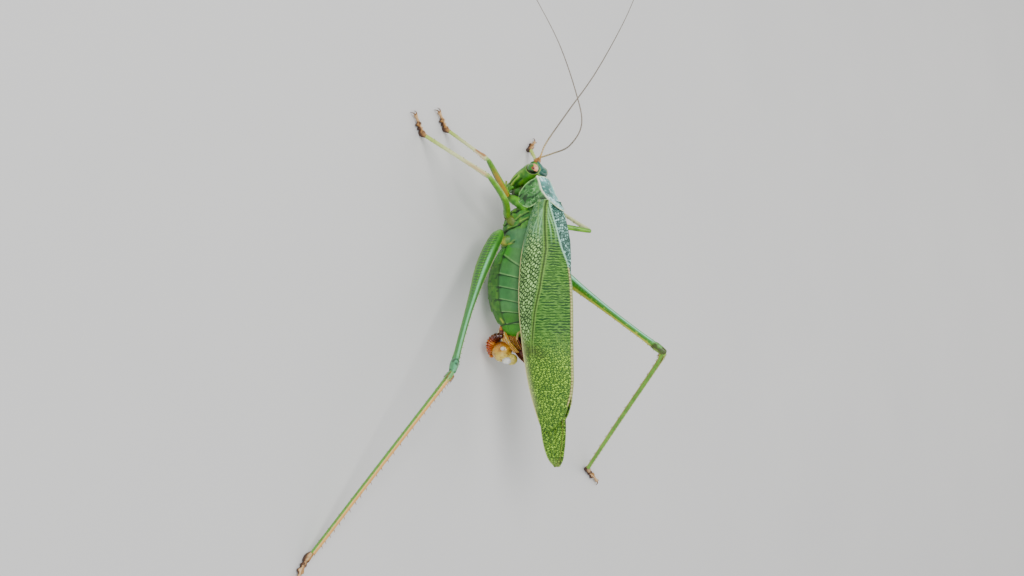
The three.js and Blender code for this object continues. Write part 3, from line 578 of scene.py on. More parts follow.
def membrane(name):
    """Netted wing. In the zone attribute, red is the costal field, green the distal third and blue the
    back, and alpha is where the painted tint covers the cells: veins, edges and a patch of painted shadow."""
    n = Nodes(name)
    tint = n.add("Attribute", attribute_name="tint")
    zones = n.add("Attribute", attribute_name="zone", out=0)
    cover = n.add("Attribute", attribute_name="zone", out=3)
    costal, distal, dorsal = (n.add("SeparateXYZ", {0: zones}, out=k) for k in range(3))
    uv = n.add("UVMap", uv_map="UVMap")
    wave = n.add("TexNoise", {"Vector": uv, "Scale": 1.3, "Detail": 2.0}, out=1)
    sway = n.add("VectorMath", {0: wave, "Scale": 0.35}, operation="SCALE")
    swayed = n.add("VectorMath", {0: uv, 1: sway}, operation="ADD")

    def cells(turned, wide, tall, random):
        """Distance to the nearest cell wall (0 to about 0.5), and a random number for each cell."""
        where = n.add("Mapping", {"Vector": swayed, "Rotation": (0, 0, turned)})
        where = n.add("Mapping", {"Vector": where, "Scale": (1 / wide, 1 / tall, 1)})
        wall = n.add("TexVoronoi", {"Vector": where, "Scale": 1.0, "Randomness": random},
                voronoi_dimensions="2D", feature="DISTANCE_TO_EDGE")
        each = n.add("TexVoronoi", {"Vector": where, "Scale": 1.0, "Randomness": random}, out=1,
                voronoi_dimensions="2D")
        return wall, n.add("SeparateXYZ", {0: each}, out=0)

    wall_a, each_a = cells(0.7, 0.52, 0.35, 0.6)
    wall_b, _ = cells(0.04, 0.37, 2.2, 0.85)
    wall_c, each_c = cells(0.6, 0.24, 0.44, 0.9)
    wall_d, each_d = cells(-0.3, 0.44, 0.4, 0.95)
    in_a = n.step(wall_a, 0.07, 0.22)
    in_b = n.step(wall_b, 0.02, 0.17)
    in_c = n.step(wall_c, 0.03, 0.3)
    in_d = n.step(wall_d, 0.04, 0.28)
    pale_a = n.math("MULTIPLY", in_a, n.step(each_a, 0.0, 0.9, 0.4, 1.0))
    lengthwise = n.add("SeparateXYZ", {0: swayed}, out=0)
    strokes = n.step(n.math("PINGPONG", n.math("DIVIDE", lengthwise, 0.36), 0.5), 0.04, 0.26, 1.0, 0.0)
    broken = n.step(n.add("TexNoise", {"Vector": uv, "Scale": 2.2, "Detail": 2.0}), 0.35, 0.6, 0.35, 1.0)
    strokes = n.math("MULTIPLY", strokes, broken)
    pale_b = n.math("MAXIMUM", strokes, n.math("MULTIPLY", n.math("SUBTRACT", 1.0, in_b), 0.45))
    pale_c = n.math("MULTIPLY", in_c, n.step(each_c, 0.0, 1.0, 0.3, 1.0))
    pale_d = n.math("MULTIPLY", in_d, n.math("POWER", each_d, 1.2))
    wide = n.add("TexNoise", {"Vector": uv, "Scale": 0.22, "Detail": 3.0})
    field = n.mix(n.step(wide, 0.35, 0.65), rgb("1f5c1a"), rgb("2e6c17"))
    colour = n.mix(pale_b, field, rgb("90c45c"))
    colour = n.mix(costal, colour, n.mix(pale_a, rgb("24561c"), rgb("c0e89a")))
    colour = n.mix(distal, colour, n.mix(pale_c, rgb("2c661a"), rgb("bce85c")))
    # On the back, the bluish-white flecks at the cell centres are painted highlights.
    colour = n.mix(dorsal, colour, n.mix(pale_d, rgb("12604c"), rgb("ccfff0")))
    colour = n.mix(cover, colour, tint)
    height = n.math("MULTIPLY", pale_b, 0.8)
    for zone, cell in ((costal, in_a), (distal, pale_c), (dorsal, pale_d)):
        height = n.add("Mix", {0: zone, 2: height, 3: cell}, data_type="FLOAT")
    height = n.math("MULTIPLY", height, n.math("SUBTRACT", 1.0, cover))
    bump = n.add("Bump", {"Strength": 1.0, "Distance": 0.07 * MM, "Height": height})
    shine = n.step(wide, 0.3, 0.7, 0.5, 0.62)
    return n.shade(Base_Color=colour, Roughness=shine, Normal=bump, Specular_IOR_Level=0.35)


def eye_material(name):
    n = Nodes(name)
    tint = n.add("Attribute", attribute_name="tint")
    place = n.add("TexCoord", out=3)
    facets = n.add("TexVoronoi", {"Vector": place, "Scale": 1000 / 0.035, "Randomness": 0.35})
    cloud = n.add("TexNoise", {"Vector": place, "Scale": 1000 / 0.4, "Detail": 3.0})
    light = n.add("MapRange", {0: cloud, 1: 0.3, 2: 0.7, 3: 0.9, 4: 1.1})
    colour = n.add("VectorMath", {0: tint, "Scale": light}, operation="SCALE")
    height = n.math("MULTIPLY", facets, -1.0)
    bump = n.add("Bump", {"Strength": 0.6, "Distance": 0.006 * MM, "Height": height})
    n.shade(Base_Color=colour, Roughness=0.28, Normal=bump, Coat_Weight=0.6, Coat_Roughness=0.08)
    return n.shade(Subsurface_Weight=0.15, Subsurface_Radius=(1.0, 0.6, 0.4), Subsurface_Scale=0.0003)


def jelly(name, clear, soft):
    """Clouded wet jelly."""
    n = Nodes(name)
    tint = n.add("Attribute", attribute_name="tint")
    place = n.add("TexCoord", out=3)
    curds = n.add("TexNoise", {"Vector": place, "Scale": 1000 / 0.45, "Detail": 4.0, "Distortion": 0.8})
    light = n.add("MapRange", {0: curds, 1: 0.3, 2: 0.7, 3: 0.78, 4: 1.2})
    colour = n.add("VectorMath", {0: tint, "Scale": light}, operation="SCALE")
    bump = n.add("Bump", {"Strength": 1.0, "Distance": 0.03 * MM, "Height": curds})
    n.shade(Base_Color=colour, Roughness=0.22, Normal=bump, Transmission_Weight=clear, IOR=1.36)
    n.shade(Coat_Weight=0.8, Coat_Roughness=0.05)
    return n.shade(Subsurface_Weight=soft, Subsurface_Radius=(1.0, 0.9, 0.45), Subsurface_Scale=0.0006)


FACE_SKIN = cuticle("face_skin", rough=0.36, mottle=0.1, coat=0.15, soft=0.12)
BODY_SKIN = cuticle("body_skin", rough=0.42, mottle=0.16, soft=0.08)
BELLY_SKIN = cuticle("belly_skin", rough=0.5, mottle=0.16, patch=0.8, grain=0.09, soft=0.08)
SHIELD = cuticle("pronotum_shield", rough=0.42, mottle=0.3, patch=0.3, grain=0.14, depth=0.03, coat=0.1)
LEG_SKIN = cuticle("leg_skin", rough=0.36, mottle=0.12, patch=0.35, coat=0.2, soft=0.06)
FOOT_SKIN = cuticle("foot_skin", rough=0.45, mottle=0.22, patch=0.25, grain=0.05)
FEELER_SKIN = cuticle("feeler_skin", rough=0.5, mottle=0.18, patch=0.3, grain=0.05)
BLADE = cuticle("blade_horn", rough=0.26, mottle=0.22, patch=0.5, depth=0.006, coat=0.4)
WING = membrane("wing_membrane")
EYE = eye_material("compound_eye")
AMBER = jelly("amber_jelly", 0.25, 0.3)
RUST = jelly("rust_jelly", 0.05, 0.25)

# ---------- trunk ----------

def pleural_z(y):
    """Height of the crease along each side of the abdomen."""
    ys = [-13.5, -12.3, -11, -9.3, -7.6, -5.5, -3.8, -1.9, -1]
    zs = [-0.2, -0.3, -0.7, -0.8, -0.8, -0.7, -0.35, 0.17, 0.4]
    return np.interp(y, ys, zs)


def make_abdomen():
    skin = Skin()
    p = trunk_grid(ABDOMEN, 300, 160)
    x, y, z = np.moveaxis(p, -1, 0)
    above = z - pleural_z(y)
    # Each hind margin: its y at the crease, and how far it slopes back for each millimetre above it.
    margins = [
        (-0.2, 0.6), (-2.75, 0.62), (-5.3, 0.28), (-7.0, 0.26),
        (-8.7, 0.26), (-10.4, 0.14), (-12.0, 0.1), (-13.6, 0.1),
    ]
    lines = [at - slope * np.clip(above, 0, 3.4) + 0.12 * np.clip(-above, 0, 3) for at, slope in margins]
    s = sum(np.clip((a - y) / (a - b), 0, 1) for a, b in zip(lines, lines[1:]))
    part = s - np.floor(s)
    plate = smooth(above, 0, 0.15)
    belly = smooth(-z, 1.9, 2.3) * smooth(1.35 - np.abs(x), 0, 0.2)
    lip = 0.13 * part ** 2 * (0.25 + 0.75 * np.maximum(plate, belly))
    fold = -0.1 * bell(above, 0.13) + 0.05 * bell(above - 0.28, 0.15)
    soft = (1 - plate) * (1 - belly)
    dents = 0.06 * soft * (blotch(p, 0.8, 2) - 0.5) - 0.05 * plate * bell(part, 0.07)
    p = raised(p, lip + fold + dents)
    dots = patches(p, 0.3, 5, 0.72, 0.84)
    col = mix(FLANK, PLATE, plate)
    col = painted(
        col,
        ("8cb83c", 0.45 * (1 - plate) * patches(p, 0.45, 18, 0.5, 0.75)),
        ("6aa34a", 0.5 * (1 - plate) * patches(p, 0.9, 16, 0.4, 0.8)),
        ("4a9052", 0.6 * plate * patches(p, 1.4, 3, 0.35, 0.7)),
        ("7cb070", 0.5 * plate * smooth(above, 1.2, 2.6)),
        ("5cb83c", 0.85 * smooth(y, -4.3, -2.6) * smooth(1.6 - above, 0, 1.2)),
        ("4e9414", smooth(-y, 9.9, 11.6) * 0.8),
        ("86bd4a", 0.5 * belly),
        (PLATE_PALE, 0.8 * bell(part - 0.95, 0.035) * (0.15 + 0.85 * np.maximum(plate, belly))),
        # A dark band just behind each hind margin, under the lip of the plate in front: painted shadow.
        (PLATE_DARK, 0.8 * bell(part - 0.035, 0.03) * np.maximum(plate, 0.2)),
    )
    # Darker where each margin meets the crease, and along the crease: painted shade. The dark dots are the
    # skin's own.
    corner = bell(part - 0.08, 0.09) * bell(above - 0.15, 0.32)
    col = painted(
        col,
        ("16381c", 0.9 * corner),
        (PLATE_DARK, 0.6 * dots * soft),
        (PLATE_DARK, 0.35 * bell(above + 0.05, 0.12)),
        ("d4dc4c", 0.85 * near_line(y, z, [(-11.35, -1.1), (-11.8, -0.85)], 0.17)),
        ("5cb01e", 0.7 * smooth(-y, 12.1, 12.25)),
        ("17400f", 0.85 * bell(y + 12.05 - 0.12 * z, 0.09)),
    )
    skin.tube(placed(p, BODY), col)
    # The last segment and the plate over the ovipositor's base.
    p = trunk_grid(TAIL, 90, 110)
    x, y, z = np.moveaxis(p, -1, 0)
    notch = near_line(y, z, [(-12.9, -0.1), (-12.2, 0.3)], 0.14)
    p = raised(p, 0.05 * blotch(p, 0.6, 4) - 0.1 * notch)
    col = mix("5ca81c", "3c8a12", patches(p, 0.7, 6, 0.4, 0.8))
    col = painted(
        col,
        (TAIL_EDGE, 0.9 * smooth(-y, 12.95, 13.12)),
        (TAIL_EDGE, 0.8 * bell(y + 12.45 - 0.1 * z, 0.1)),
        (PLATE_DARK, 0.8 * bell(y + 12.25 - 0.1 * z, 0.1)),
    )
    skin.tube(placed(p, BODY), col)
    return skin.build("abdomen_skin", BELLY_SKIN, ["abdomen", "tail"], "abdomen_green")


def make_thorax():
    skin = Skin()
    p = trunk_grid(THORAX, 150, 150)
    _, y, z = np.moveaxis(p, -1, 0)
    seams = [
        [(2.5, -1.1), (2.9, 0.9), (3.5, 3.4)],
        [(1.3, -1.5), (1.6, 0.6), (2.6, 3.6)],
        [(0.2, -1.5), (0.5, 0.4), (1.7, 3.6)],
        [(-1.55, -1.6), (-1.5, 0.0), (-1.2, 1.6)],
    ]
    sway = 0.5 * (blotch(p, 1.0, 17) - 0.5)
    groove, ridge = 0 * y, 0 * y
    for line in seams:
        groove = np.maximum(groove, near_line(y + sway, z, line, 0.09))
        ridge = np.maximum(ridge, near_line(y + sway, z, [(a + 0.22, b) for a, b in line], 0.11))
    plate = smooth(0.9 - y, 0, 0.5) * smooth(z, -0.4, 0.4)
    folds = wrinkle(p * np.array([1, 1, 1.6]), 0.7, 8) * (1 - plate)
    lumps = (blotch(p, 0.55, 9) - 0.5) * (1 - 0.8 * plate)
    p = raised(p, 0.1 * ridge - 0.16 * groove + 0.1 * folds + 0.22 * lumps)
    col = mix("478f4a", "68a848", patches(p, 0.8, 11, 0.3, 0.7))
    col = painted(
        col,
        # Yellow on the ridges and folds is painted highlight, and the dark in the grooves and in the
        # hollows between lumps is painted shade.
        ("6a9c74", 0.75 * plate),
        ("b4cc58", 0.45 * ridge + 0.35 * folds),
        ("234c1c", np.clip(0.9 * groove + 0.55 * smooth(-lumps, 0.08, 0.3), 0, 1)),
        ("c4c44c", 0.7 * bell(y + 1.3, 0.13) * smooth(1.9 - z, 0, 1)),
        ("79a83a", 0.7 * smooth(-z, 0.6, 1.4)),
    )
    skin.tube(placed(p, BODY), col)
    p = trunk_grid(PROTHORAX, 80, 90)
    p = raised(p, 0.14 * (blotch(p, 0.9, 12) - 0.5) + 0.06 * wrinkle(p, 0.9, 13))
    col = mix("6fb52c", "3c7f22", patches(p, 0.8, 14, 0.4, 0.75))
    skin.tube(placed(p, COLLAR), col)
    rows = [(0, 1.5, 0.8, 0), (0.5, 1.62, 0.85, 0), (0.85, 1.5, 0.75, 0), (1, 1.2, 0.6, 0)]
    throat, _, _, _ = limb_grid((0, 5.9, 3.2), (0, 6.05, 0.75), (0, 1, 0), rows, 60, 70)
    folds = wrinkle(throat, 0.6, 18)
    throat = raised(throat, 0.1 * folds)
    col = mix(mix("4c8c2a", "a4bc4c", 0.7 * folds), "3a3a18", 0.7 * patches(throat, 0.5, 19, 0.5, 0.75))
    skin.tube(placed(throat, BODY), col)
    return skin.build("thorax_skin", BODY_SKIN, ["thorax", "prothorax"], "green_cuticle")


def make_pronotum():
    n, m = 150, 340
    share = 0.3  # of each row, the part that lies on the disc between the two keels
    front, length, shoulder = -0.2, 5.5, 3.7
    front_half, widest, crown = 1.77, 1.95, 0.3
    u, v = np.linspace(0, 1, n)[:, None], np.linspace(0, 1, m)[None]
    lobe_half = 2.2 + 0.5 * smooth(u, 0.05, 0.5)
    side, out = np.where(v < 0.5, -1.0, 1.0), np.abs(2 * v - 1)

    def half_at(s):
        wider = smooth(s, front, shoulder * 0.6)
        return front_half + (widest - front_half) * wider - 0.15 * smooth(s, 2, shoulder)

    def height_at(s):
        return 0.15 - 0.48 * smooth(s, front, 2.3)

    o = np.clip(out / share, 0, 1)
    s = front + u * (length + (shoulder - length) * o ** 2.2 - front)
    disc = np.stack([side * o * half_at(s), -s, height_at(s) + crown * (1 - o * o)], -1)
    down = np.clip((out - share) / (1 - share), 0, 1) + 0 * u
    depths, fronts, rears = np.array(LOBE).T
    drop = down * depths[-1]
    s = np.interp(drop, depths, fronts) * (1 - u) + np.interp(drop, depths, rears) * u
    belly = np.sin(np.minimum(down * 1.6, 1) * np.pi / 2)
    half = half_at(s) + (lobe_half - half_at(s)) * belly - 0.15 * down
    flank = np.stack([side * half, -s, -drop + height_at(s) * (1 - down) ** 3], -1)
    is_disc = (out <= share) & (u >= 0)
    p = np.where(is_disc[..., None], disc, flank)
    run = arc(p, 1)
    keels = (run[:, [int(m * at)]] for at in (0.5 - share / 2, 0.5 + share / 2))
    keel = np.minimum(*(np.abs(run - at) for at in keels))
    along = arc(p, 0)
    edge = np.minimum(np.minimum(run, run[:, -1:] - run), np.minimum(along, along[-1:] - along))
    sulcus = near_line(-p[..., 1], -p[..., 2], [(2.0, 0.6), (2.15, 1.6), (1.7, 2.4)], 0.12) * ~is_disc
    cross = bell(-p[..., 1] - 2.2 - 0.35 * np.abs(p[..., 0]), 0.1) * is_disc
    lines = np.maximum(0.9 * wrinkle(p, 0.5, 21), wrinkle(p, 0.32, 22)) * patches(p, 0.9, 26, 0.25, 0.6)
    hump = (0.13 * bell(keel, 0.14) + 0.08 * bell(edge - 0.1, 0.12)
            + 0.045 * lines * smooth(edge, 0.15, 0.4) - 0.09 * sulcus - 0.05 * cross
            + 0.06 * (blotch(p, 0.7, 23) - 0.5))
    nn = normals(p)
    centre = np.array([0, -2.5, -1.5])
    nn = nn * np.sign((nn * (p - centre)).sum(-1, keepdims=True))
    p = p + nn * hump[..., None]
    clouds, spots = patches(p, 1.0, 24, 0.3, 0.7), patches(p, 0.3, 25, 0.55, 0.8)
    # The teal of the disc is painted sky reflection over the green, and its whitish net of wrinkles and
    # spots is partly its own pale net and partly painted highlight.
    top = mix(DISC, "3f8676", 0.8 * clouds)
    pale = (0.95 * lines * smooth(np.abs(p[..., 0]), 0, 0.4) + 0.6 * spots
            + 0.25 * smooth(-p[..., 1], 2.5, 5))
    top = mix(top, DISC_PALE, np.clip(pale, 0, 1))
    low = mix(LOBE_DARK, "62a458", clouds)
    low = mix(low, LOBE_PALE, np.clip(0.6 * lines + 0.3 * spots, 0, 1))
    low = mix(low, "173c1a", 0.7 * patches(p, 0.4, 27, 0.62, 0.8))
    # Darker towards the lobe's rear, by the shoulder notch: painted shade.
    low = mix(low, "204a18", 0.8 * smooth(-p[..., 1], 2.3, 3.2) * smooth(2.0 + p[..., 2], 0, 1))
    col = np.where(is_disc[..., None], top, low)
    col = painted(
        col,
        # Dark in the grooves: painted shade.
        (PLATE_DARK, 0.6 * sulcus + 0.3 * cross),
        (RIM, 0.95 * bell(np.maximum(edge - 0.06, 0), 0.09)),
        (CARINA, np.clip(1.1 * bell(keel, 0.15), 0, 1)),
        (CARINA, 0.8 * is_disc * bell(np.maximum(edge - 0.08, 0), 0.1)),
    )
    skin = Skin().shell(placed(p, COLLAR), col, 0.14, out=placed(p, COLLAR) - placed(centre, COLLAR))
    return skin.build("pronotum_shield", SHIELD, ["pronotum"], "pronotum_green")


# ---------- head ----------

def eye_space(p, side):
    """Points in one eye's own frame, scaled so that its surface is at 1."""
    q = (p - EYE_AT * np.array([side, 1, 1])) @ turn("X", EYE_TILT)[:3, :3]
    return q / EYE_RADII


def make_head():
    skin = Skin()
    n, m = 150, 170
    r = rows_at(HEAD, np.linspace(0, 1, n))
    y, z, half, front, back = (r[:, k, None] for k in range(5))
    a = 2 * np.pi * np.arange(m) / m
    ca, sa = bulge(np.cos(a), 2.15), bulge(np.sin(a), 2.15)
    forward = np.array([0, math.cos(FACE_TILT), -math.sin(FACE_TILT)])
    reach = np.where(sa > 0, front, back) * sa
    p = np.stack([half * ca, y + 0 * ca, z + 0 * ca], -1) + reach[..., None] * forward
    x, y, z = np.moveaxis(p, -1, 0)
    ax = np.abs(x)
    e = np.minimum(*(np.linalg.norm(eye_space(p, s), axis=-1) for s in (-1, 1)))
    rim = bell(e - 1.11, 0.08)
    aside = smooth(ax, 0.6, 0.9)
    gena = near_line(y, z, [(8.35, 1.35), (7.85, 0.6), (7.5, 0.1)], 0.12) * aside
    cheek = near_line(y, z, [(8.1, 1.9), (7.5, 0.95), (6.9, 0.0)], 0.15) * aside
    under = near_line(y, z, [(8.2, 1.65), (7.68, 0.78), (7.2, 0.05)], 0.09) * aside
    under = np.maximum(under, near_line(y, z, [(7.7, 2.2), (7.2, 1.2), (6.6, 0.2)], 0.16) * aside)
    brow = near_line(ax, z, [(0.42, 3.2), (0.5, 2.0), (0.6, 0.9)], 0.1) * smooth(y, 8.6, 9.0)
    clypeus = near_line(y, z, [(9.0, 0.45), (8.2, 0.05), (7.0, 0.2)], 0.1)
    nn = normals(p, True)
    hump = (0.09 * rim + 0.09 * gena + 0.07 * cheek - 0.09 * under - 0.05 * brow - 0.05 * clypeus
            + 0.03 * (blotch(p, 0.6, 31) - 0.5))
    p = p + nn * hump[..., None]
    top = smooth(nn[..., 2], 0.42, 0.6) * smooth(z, 4.0, 4.3)
    col = mix(FACE, "4c8c22", patches(p, 0.9, 32, 0.35, 0.75))
    col = painted(
        col,
        ("a8c83c", 0.6 * patches(p, 0.5, 34, 0.55, 0.8) * smooth(3.2 - z, 0, 1)),
        # The pale ridges of the cheeks are painted highlight, and the dark in the grooves below them, at
        # the brow and over the mouth's plate is painted shade.
        (FACE_PALE, np.clip(0.85 * gena + 0.75 * cheek, 0, 1)),
        (FACE_DARK, np.clip(0.85 * under + 0.35 * brow + 0.6 * clypeus, 0, 1)),
        ("2d6a1d", 0.6 * smooth(8.0 - y, 0.6, 1.5) * smooth(z, 1.2, 2.4)),
        ("4a3414", 0.6 * smooth(0.7 - z, 0, 0.6) * patches(p, 0.45, 36, 0.4, 0.7)),
        # The crown's teal, painted where the head faces up, is painted sky reflection, with a pale band of
        # painted highlight where the crown turns down.
        (mix(CROWN, "3a7868", patches(p, 0.9, 33, 0.4, 0.7)), top),
        ("c8ecbc", 0.7 * bell(nn[..., 2] - 0.45, 0.09) * smooth(z, 3.9, 4.2)),
        (CROWN_EDGE, 0.8 * top * smooth(8.25 - y, 0, 0.2)),
        ("c6e06e", 0.8 * rim),
        # The dark ring at the lower rear of each eye's base is partly painted shadow under the eye and
        # partly the eye's own dark band.
        (EYE_RIM, 0.9 * bell(e - 0.99, 0.08) * smooth(EYE_AT[1] - y + 0.6 * (EYE_AT[2] - z), -0.2, 0.2)),
    )
    skin.tube(placed(p, BODY), col)
    # The peak of the crown between the feelers, and the feelers' sockets.
    rows = [(0, 0.95, 0.55, 0), (0.5, 0.5, 0.42, 0), (0.85, 0.27, 0.3, 0), (1, 0.2, 0.22, 0)]
    peak, _, angle, _ = limb_grid((0, 8.9, 4.4), (0, 10.15, 3.86), (0, 0, 1), rows, 40, 40)
    over = smooth(np.sin(angle), 0.2, 0.6)
    # Teal on top of the peak: painted sky reflection; the pale band along its side: painted highlight.
    col = mix("3f8a2a", CROWN, over)
    col = mix(col, "c9e8b4", 0.8 * bell(np.sin(angle) - 0.3, 0.18))
    skin.tube(placed(peak, BODY), col)
    for side in (-1, 1):
        at = np.array([side * 0.5, 9.72, 3.62])
        socket, d = ball_grid(at, (0.47, 0.42, 0.5))
        rough = 1 + 0.05 * (blotch(socket, 0.4, 35) - 0.5)[..., None]
        socket = at + (socket - at) * rough
        skin.grid(placed(socket, BODY), mix("3d7d22", "6aa83a", smooth(d[..., 2], 0, 0.8)), wrap=True)
    return skin.build("head_skin", FACE_SKIN, ["head"], "face_green")


def make_eyes():
    for name, side in (("eye_left", -1), ("eye_right", 1)):
        p, d = ball_grid((0, 0, 0), EYE_RADII * 0.95, 70, 90)
        q = d @ turn("X", EYE_TILT)[:3, :3].T
        out, fore, high = q[..., 0] * side, q[..., 1], q[..., 2]
        lie = -0.485 * out + 0.875 * high
        pupil = out * 0.864 - fore * 0.122 + high * 0.488
        col = mix(PEACH, "fcc49a", smooth(high, 0.3, 0.9))
        col = painted(
            col,
            (EYE_GREEN, smooth(-lie, -0.16, 0.02)),
            ("a8a43a", 0.7 * bell(lie - 0.07, 0.06)),
            (PEACH_DARK, 0.9 * smooth(pupil, 0.93, 0.965)),
            ("1c0a06", smooth(pupil, 0.982, 0.992)),
            # The dark at the eye's lower rear and round its base below is partly painted shadow under the
            # bulge and partly the eye's own dark band. The teal over its inner top is the crown's painted
            # sky reflection.
            (EYE_RIM, smooth(-fore - 0.25 * high, 0.4, 0.58)),
            (EYE_RIM, 0.8 * smooth(0.35 - out, 0, 0.2) * smooth(0.4 - high, 0, 0.4)),
            (CROWN, smooth(0.15 - out, 0, 0.2) * smooth(high, 0.3, 0.5)),
        )
        p = p @ turn("X", EYE_TILT)[:3, :3].T + EYE_AT * np.array([side, 1, 1])
        Skin().grid(placed(p, BODY), col, wrap=True).build(name + "_globe", EYE, [name], "eye_peach")


def make_mouth():
    skin = Skin()
    rows = [
        (0, 0.9, 0.62, 0), (0.35, 0.85, 0.6, 0), (0.45, 0.78, 0.56, 0), (0.8, 0.62, 0.45, 0),
        (1, 0.4, 0.3, 0),
    ]
    lip, share, _, _ = limb_grid((0, 7.35, 0.2), (0, 6.55, -1.18), (0, 1, -0.4), rows, 60, 70)
    seam = bell(share - 0.42, 0.035)
    lip = raised(lip, -0.06 * seam)
    col = mix("62aa2e", "3a7a20", smooth(share, 0.5, 1))
    col = mix(col, "1c3d10", 0.8 * seam + 0.5 * smooth(share, 0.85, 1))
    skin.tube(placed(lip, BODY), np.clip(col, 0, 255))
    rows = [(0, 0.42, 0.35, 0), (0.5, 0.42, 0.34, 0), (0.85, 0.28, 0.22, 0), (1, 0.12, 0.1, 0)]
    for side in (-1, 1):
        root, tip = (side * 0.75, 7.0, 0.35), (side * 0.42, 6.55, -0.95)
        jaw, share, _, _ = limb_grid(root, tip, (side, 0.2, 0), rows, 40, 40)
        skin.tube(placed(jaw, BODY), mix("6cae38", "4b2a12", smooth(share, 0.7, 0.95)))
    skin.build("mouth", FACE_SKIN, ["mouthparts"], "green_cuticle")


def make_palps():
    for name, side in (("palps_left", -1), ("palps_right", 1)):
        skin = Skin()
        long = [
            (side * 1.2, 6.75, -0.2), (side * 1.55, 6.85, -1.2),
            (side * 1.42, 7.6, -1.8), (side * 1.25, 8.35, -1.7),
        ]
        short = [
            (side * 0.7, 6.55, -0.7), (side * 0.95, 6.6, -1.55),
            (side * 0.85, 7.1, -1.95), (side * 0.75, 7.5, -1.9),
        ]
        for points, radius in ((long, 0.15), (short, 0.12)):
            path, run = along_curve([points[0]] + points + [points[-1]], 90)
            t = run / run[-1]
            swell = 0.75 + 0.35 * np.abs(np.sin(np.pi * t * 3)) ** 0.5 * (0.7 + 0.5 * t)
            p = tube_grid(path, radius * swell, 22)
            joint = bell(np.abs(np.sin(np.pi * t * 3)), 0.15)[:, None] + np.zeros(22)
            skin.tube(placed(p, BODY), mix("b8cf7a", "6f8f3a", joint))
        skin.build(name + "_pair", LEG_SKIN, [name], "pale_leg")


def make_feelers():
    for name, points in FEELERS.items():
        skin = Skin()
        path, run = along_curve(points, 1500)
        total = run[-1]
        scape = 0.26 * smooth(run, -0.1, 0.15) * (1 - 0.3 * smooth(run, 0.4, 0.7))
        stalk = np.where(run < 1.15, 0.17, 0.04 + 0.09 * (1 - run / total) ** 1.3)
        radius = np.where(run < 0.85, scape, stalk)
        radius = radius * (1 - 0.3 * bell(run - 0.85, 0.05) - 0.2 * bell(run - 1.2, 0.05))
        ring = 0.5 + 0.5 * np.cos(2 * np.pi * run / 0.34)
        radius = radius * np.where(run > 1.2, 1 - 0.1 * ring ** 6, 1)
        p = tube_grid(path, radius, 12)
        col = mix(TAN, GREY_TAN, smooth(run, 2.0, 6))
        col = painted(
            col,
            ("948a7a", smooth(run, 9, 20)),
            ("5b4526", 0.5 * (run > 1.2) * ring ** 6),
            (SCAPE, 1 - smooth(run, 1.0, 1.3)),
            ("e6be6a", 0.7 * bell(run - 1.3, 0.25)),
        )
        skin.tube(p, np.broadcast_to(col[:, None], p.shape))
        skin.build(name + "_whip", FEELER_SKIN, [name], "feeler_tan")


# ---------- wings ----------

def open_back(y):
    """1 on the flat back behind the shield, 0 where the two wings stand together."""
    return smooth(y, -6, -1)


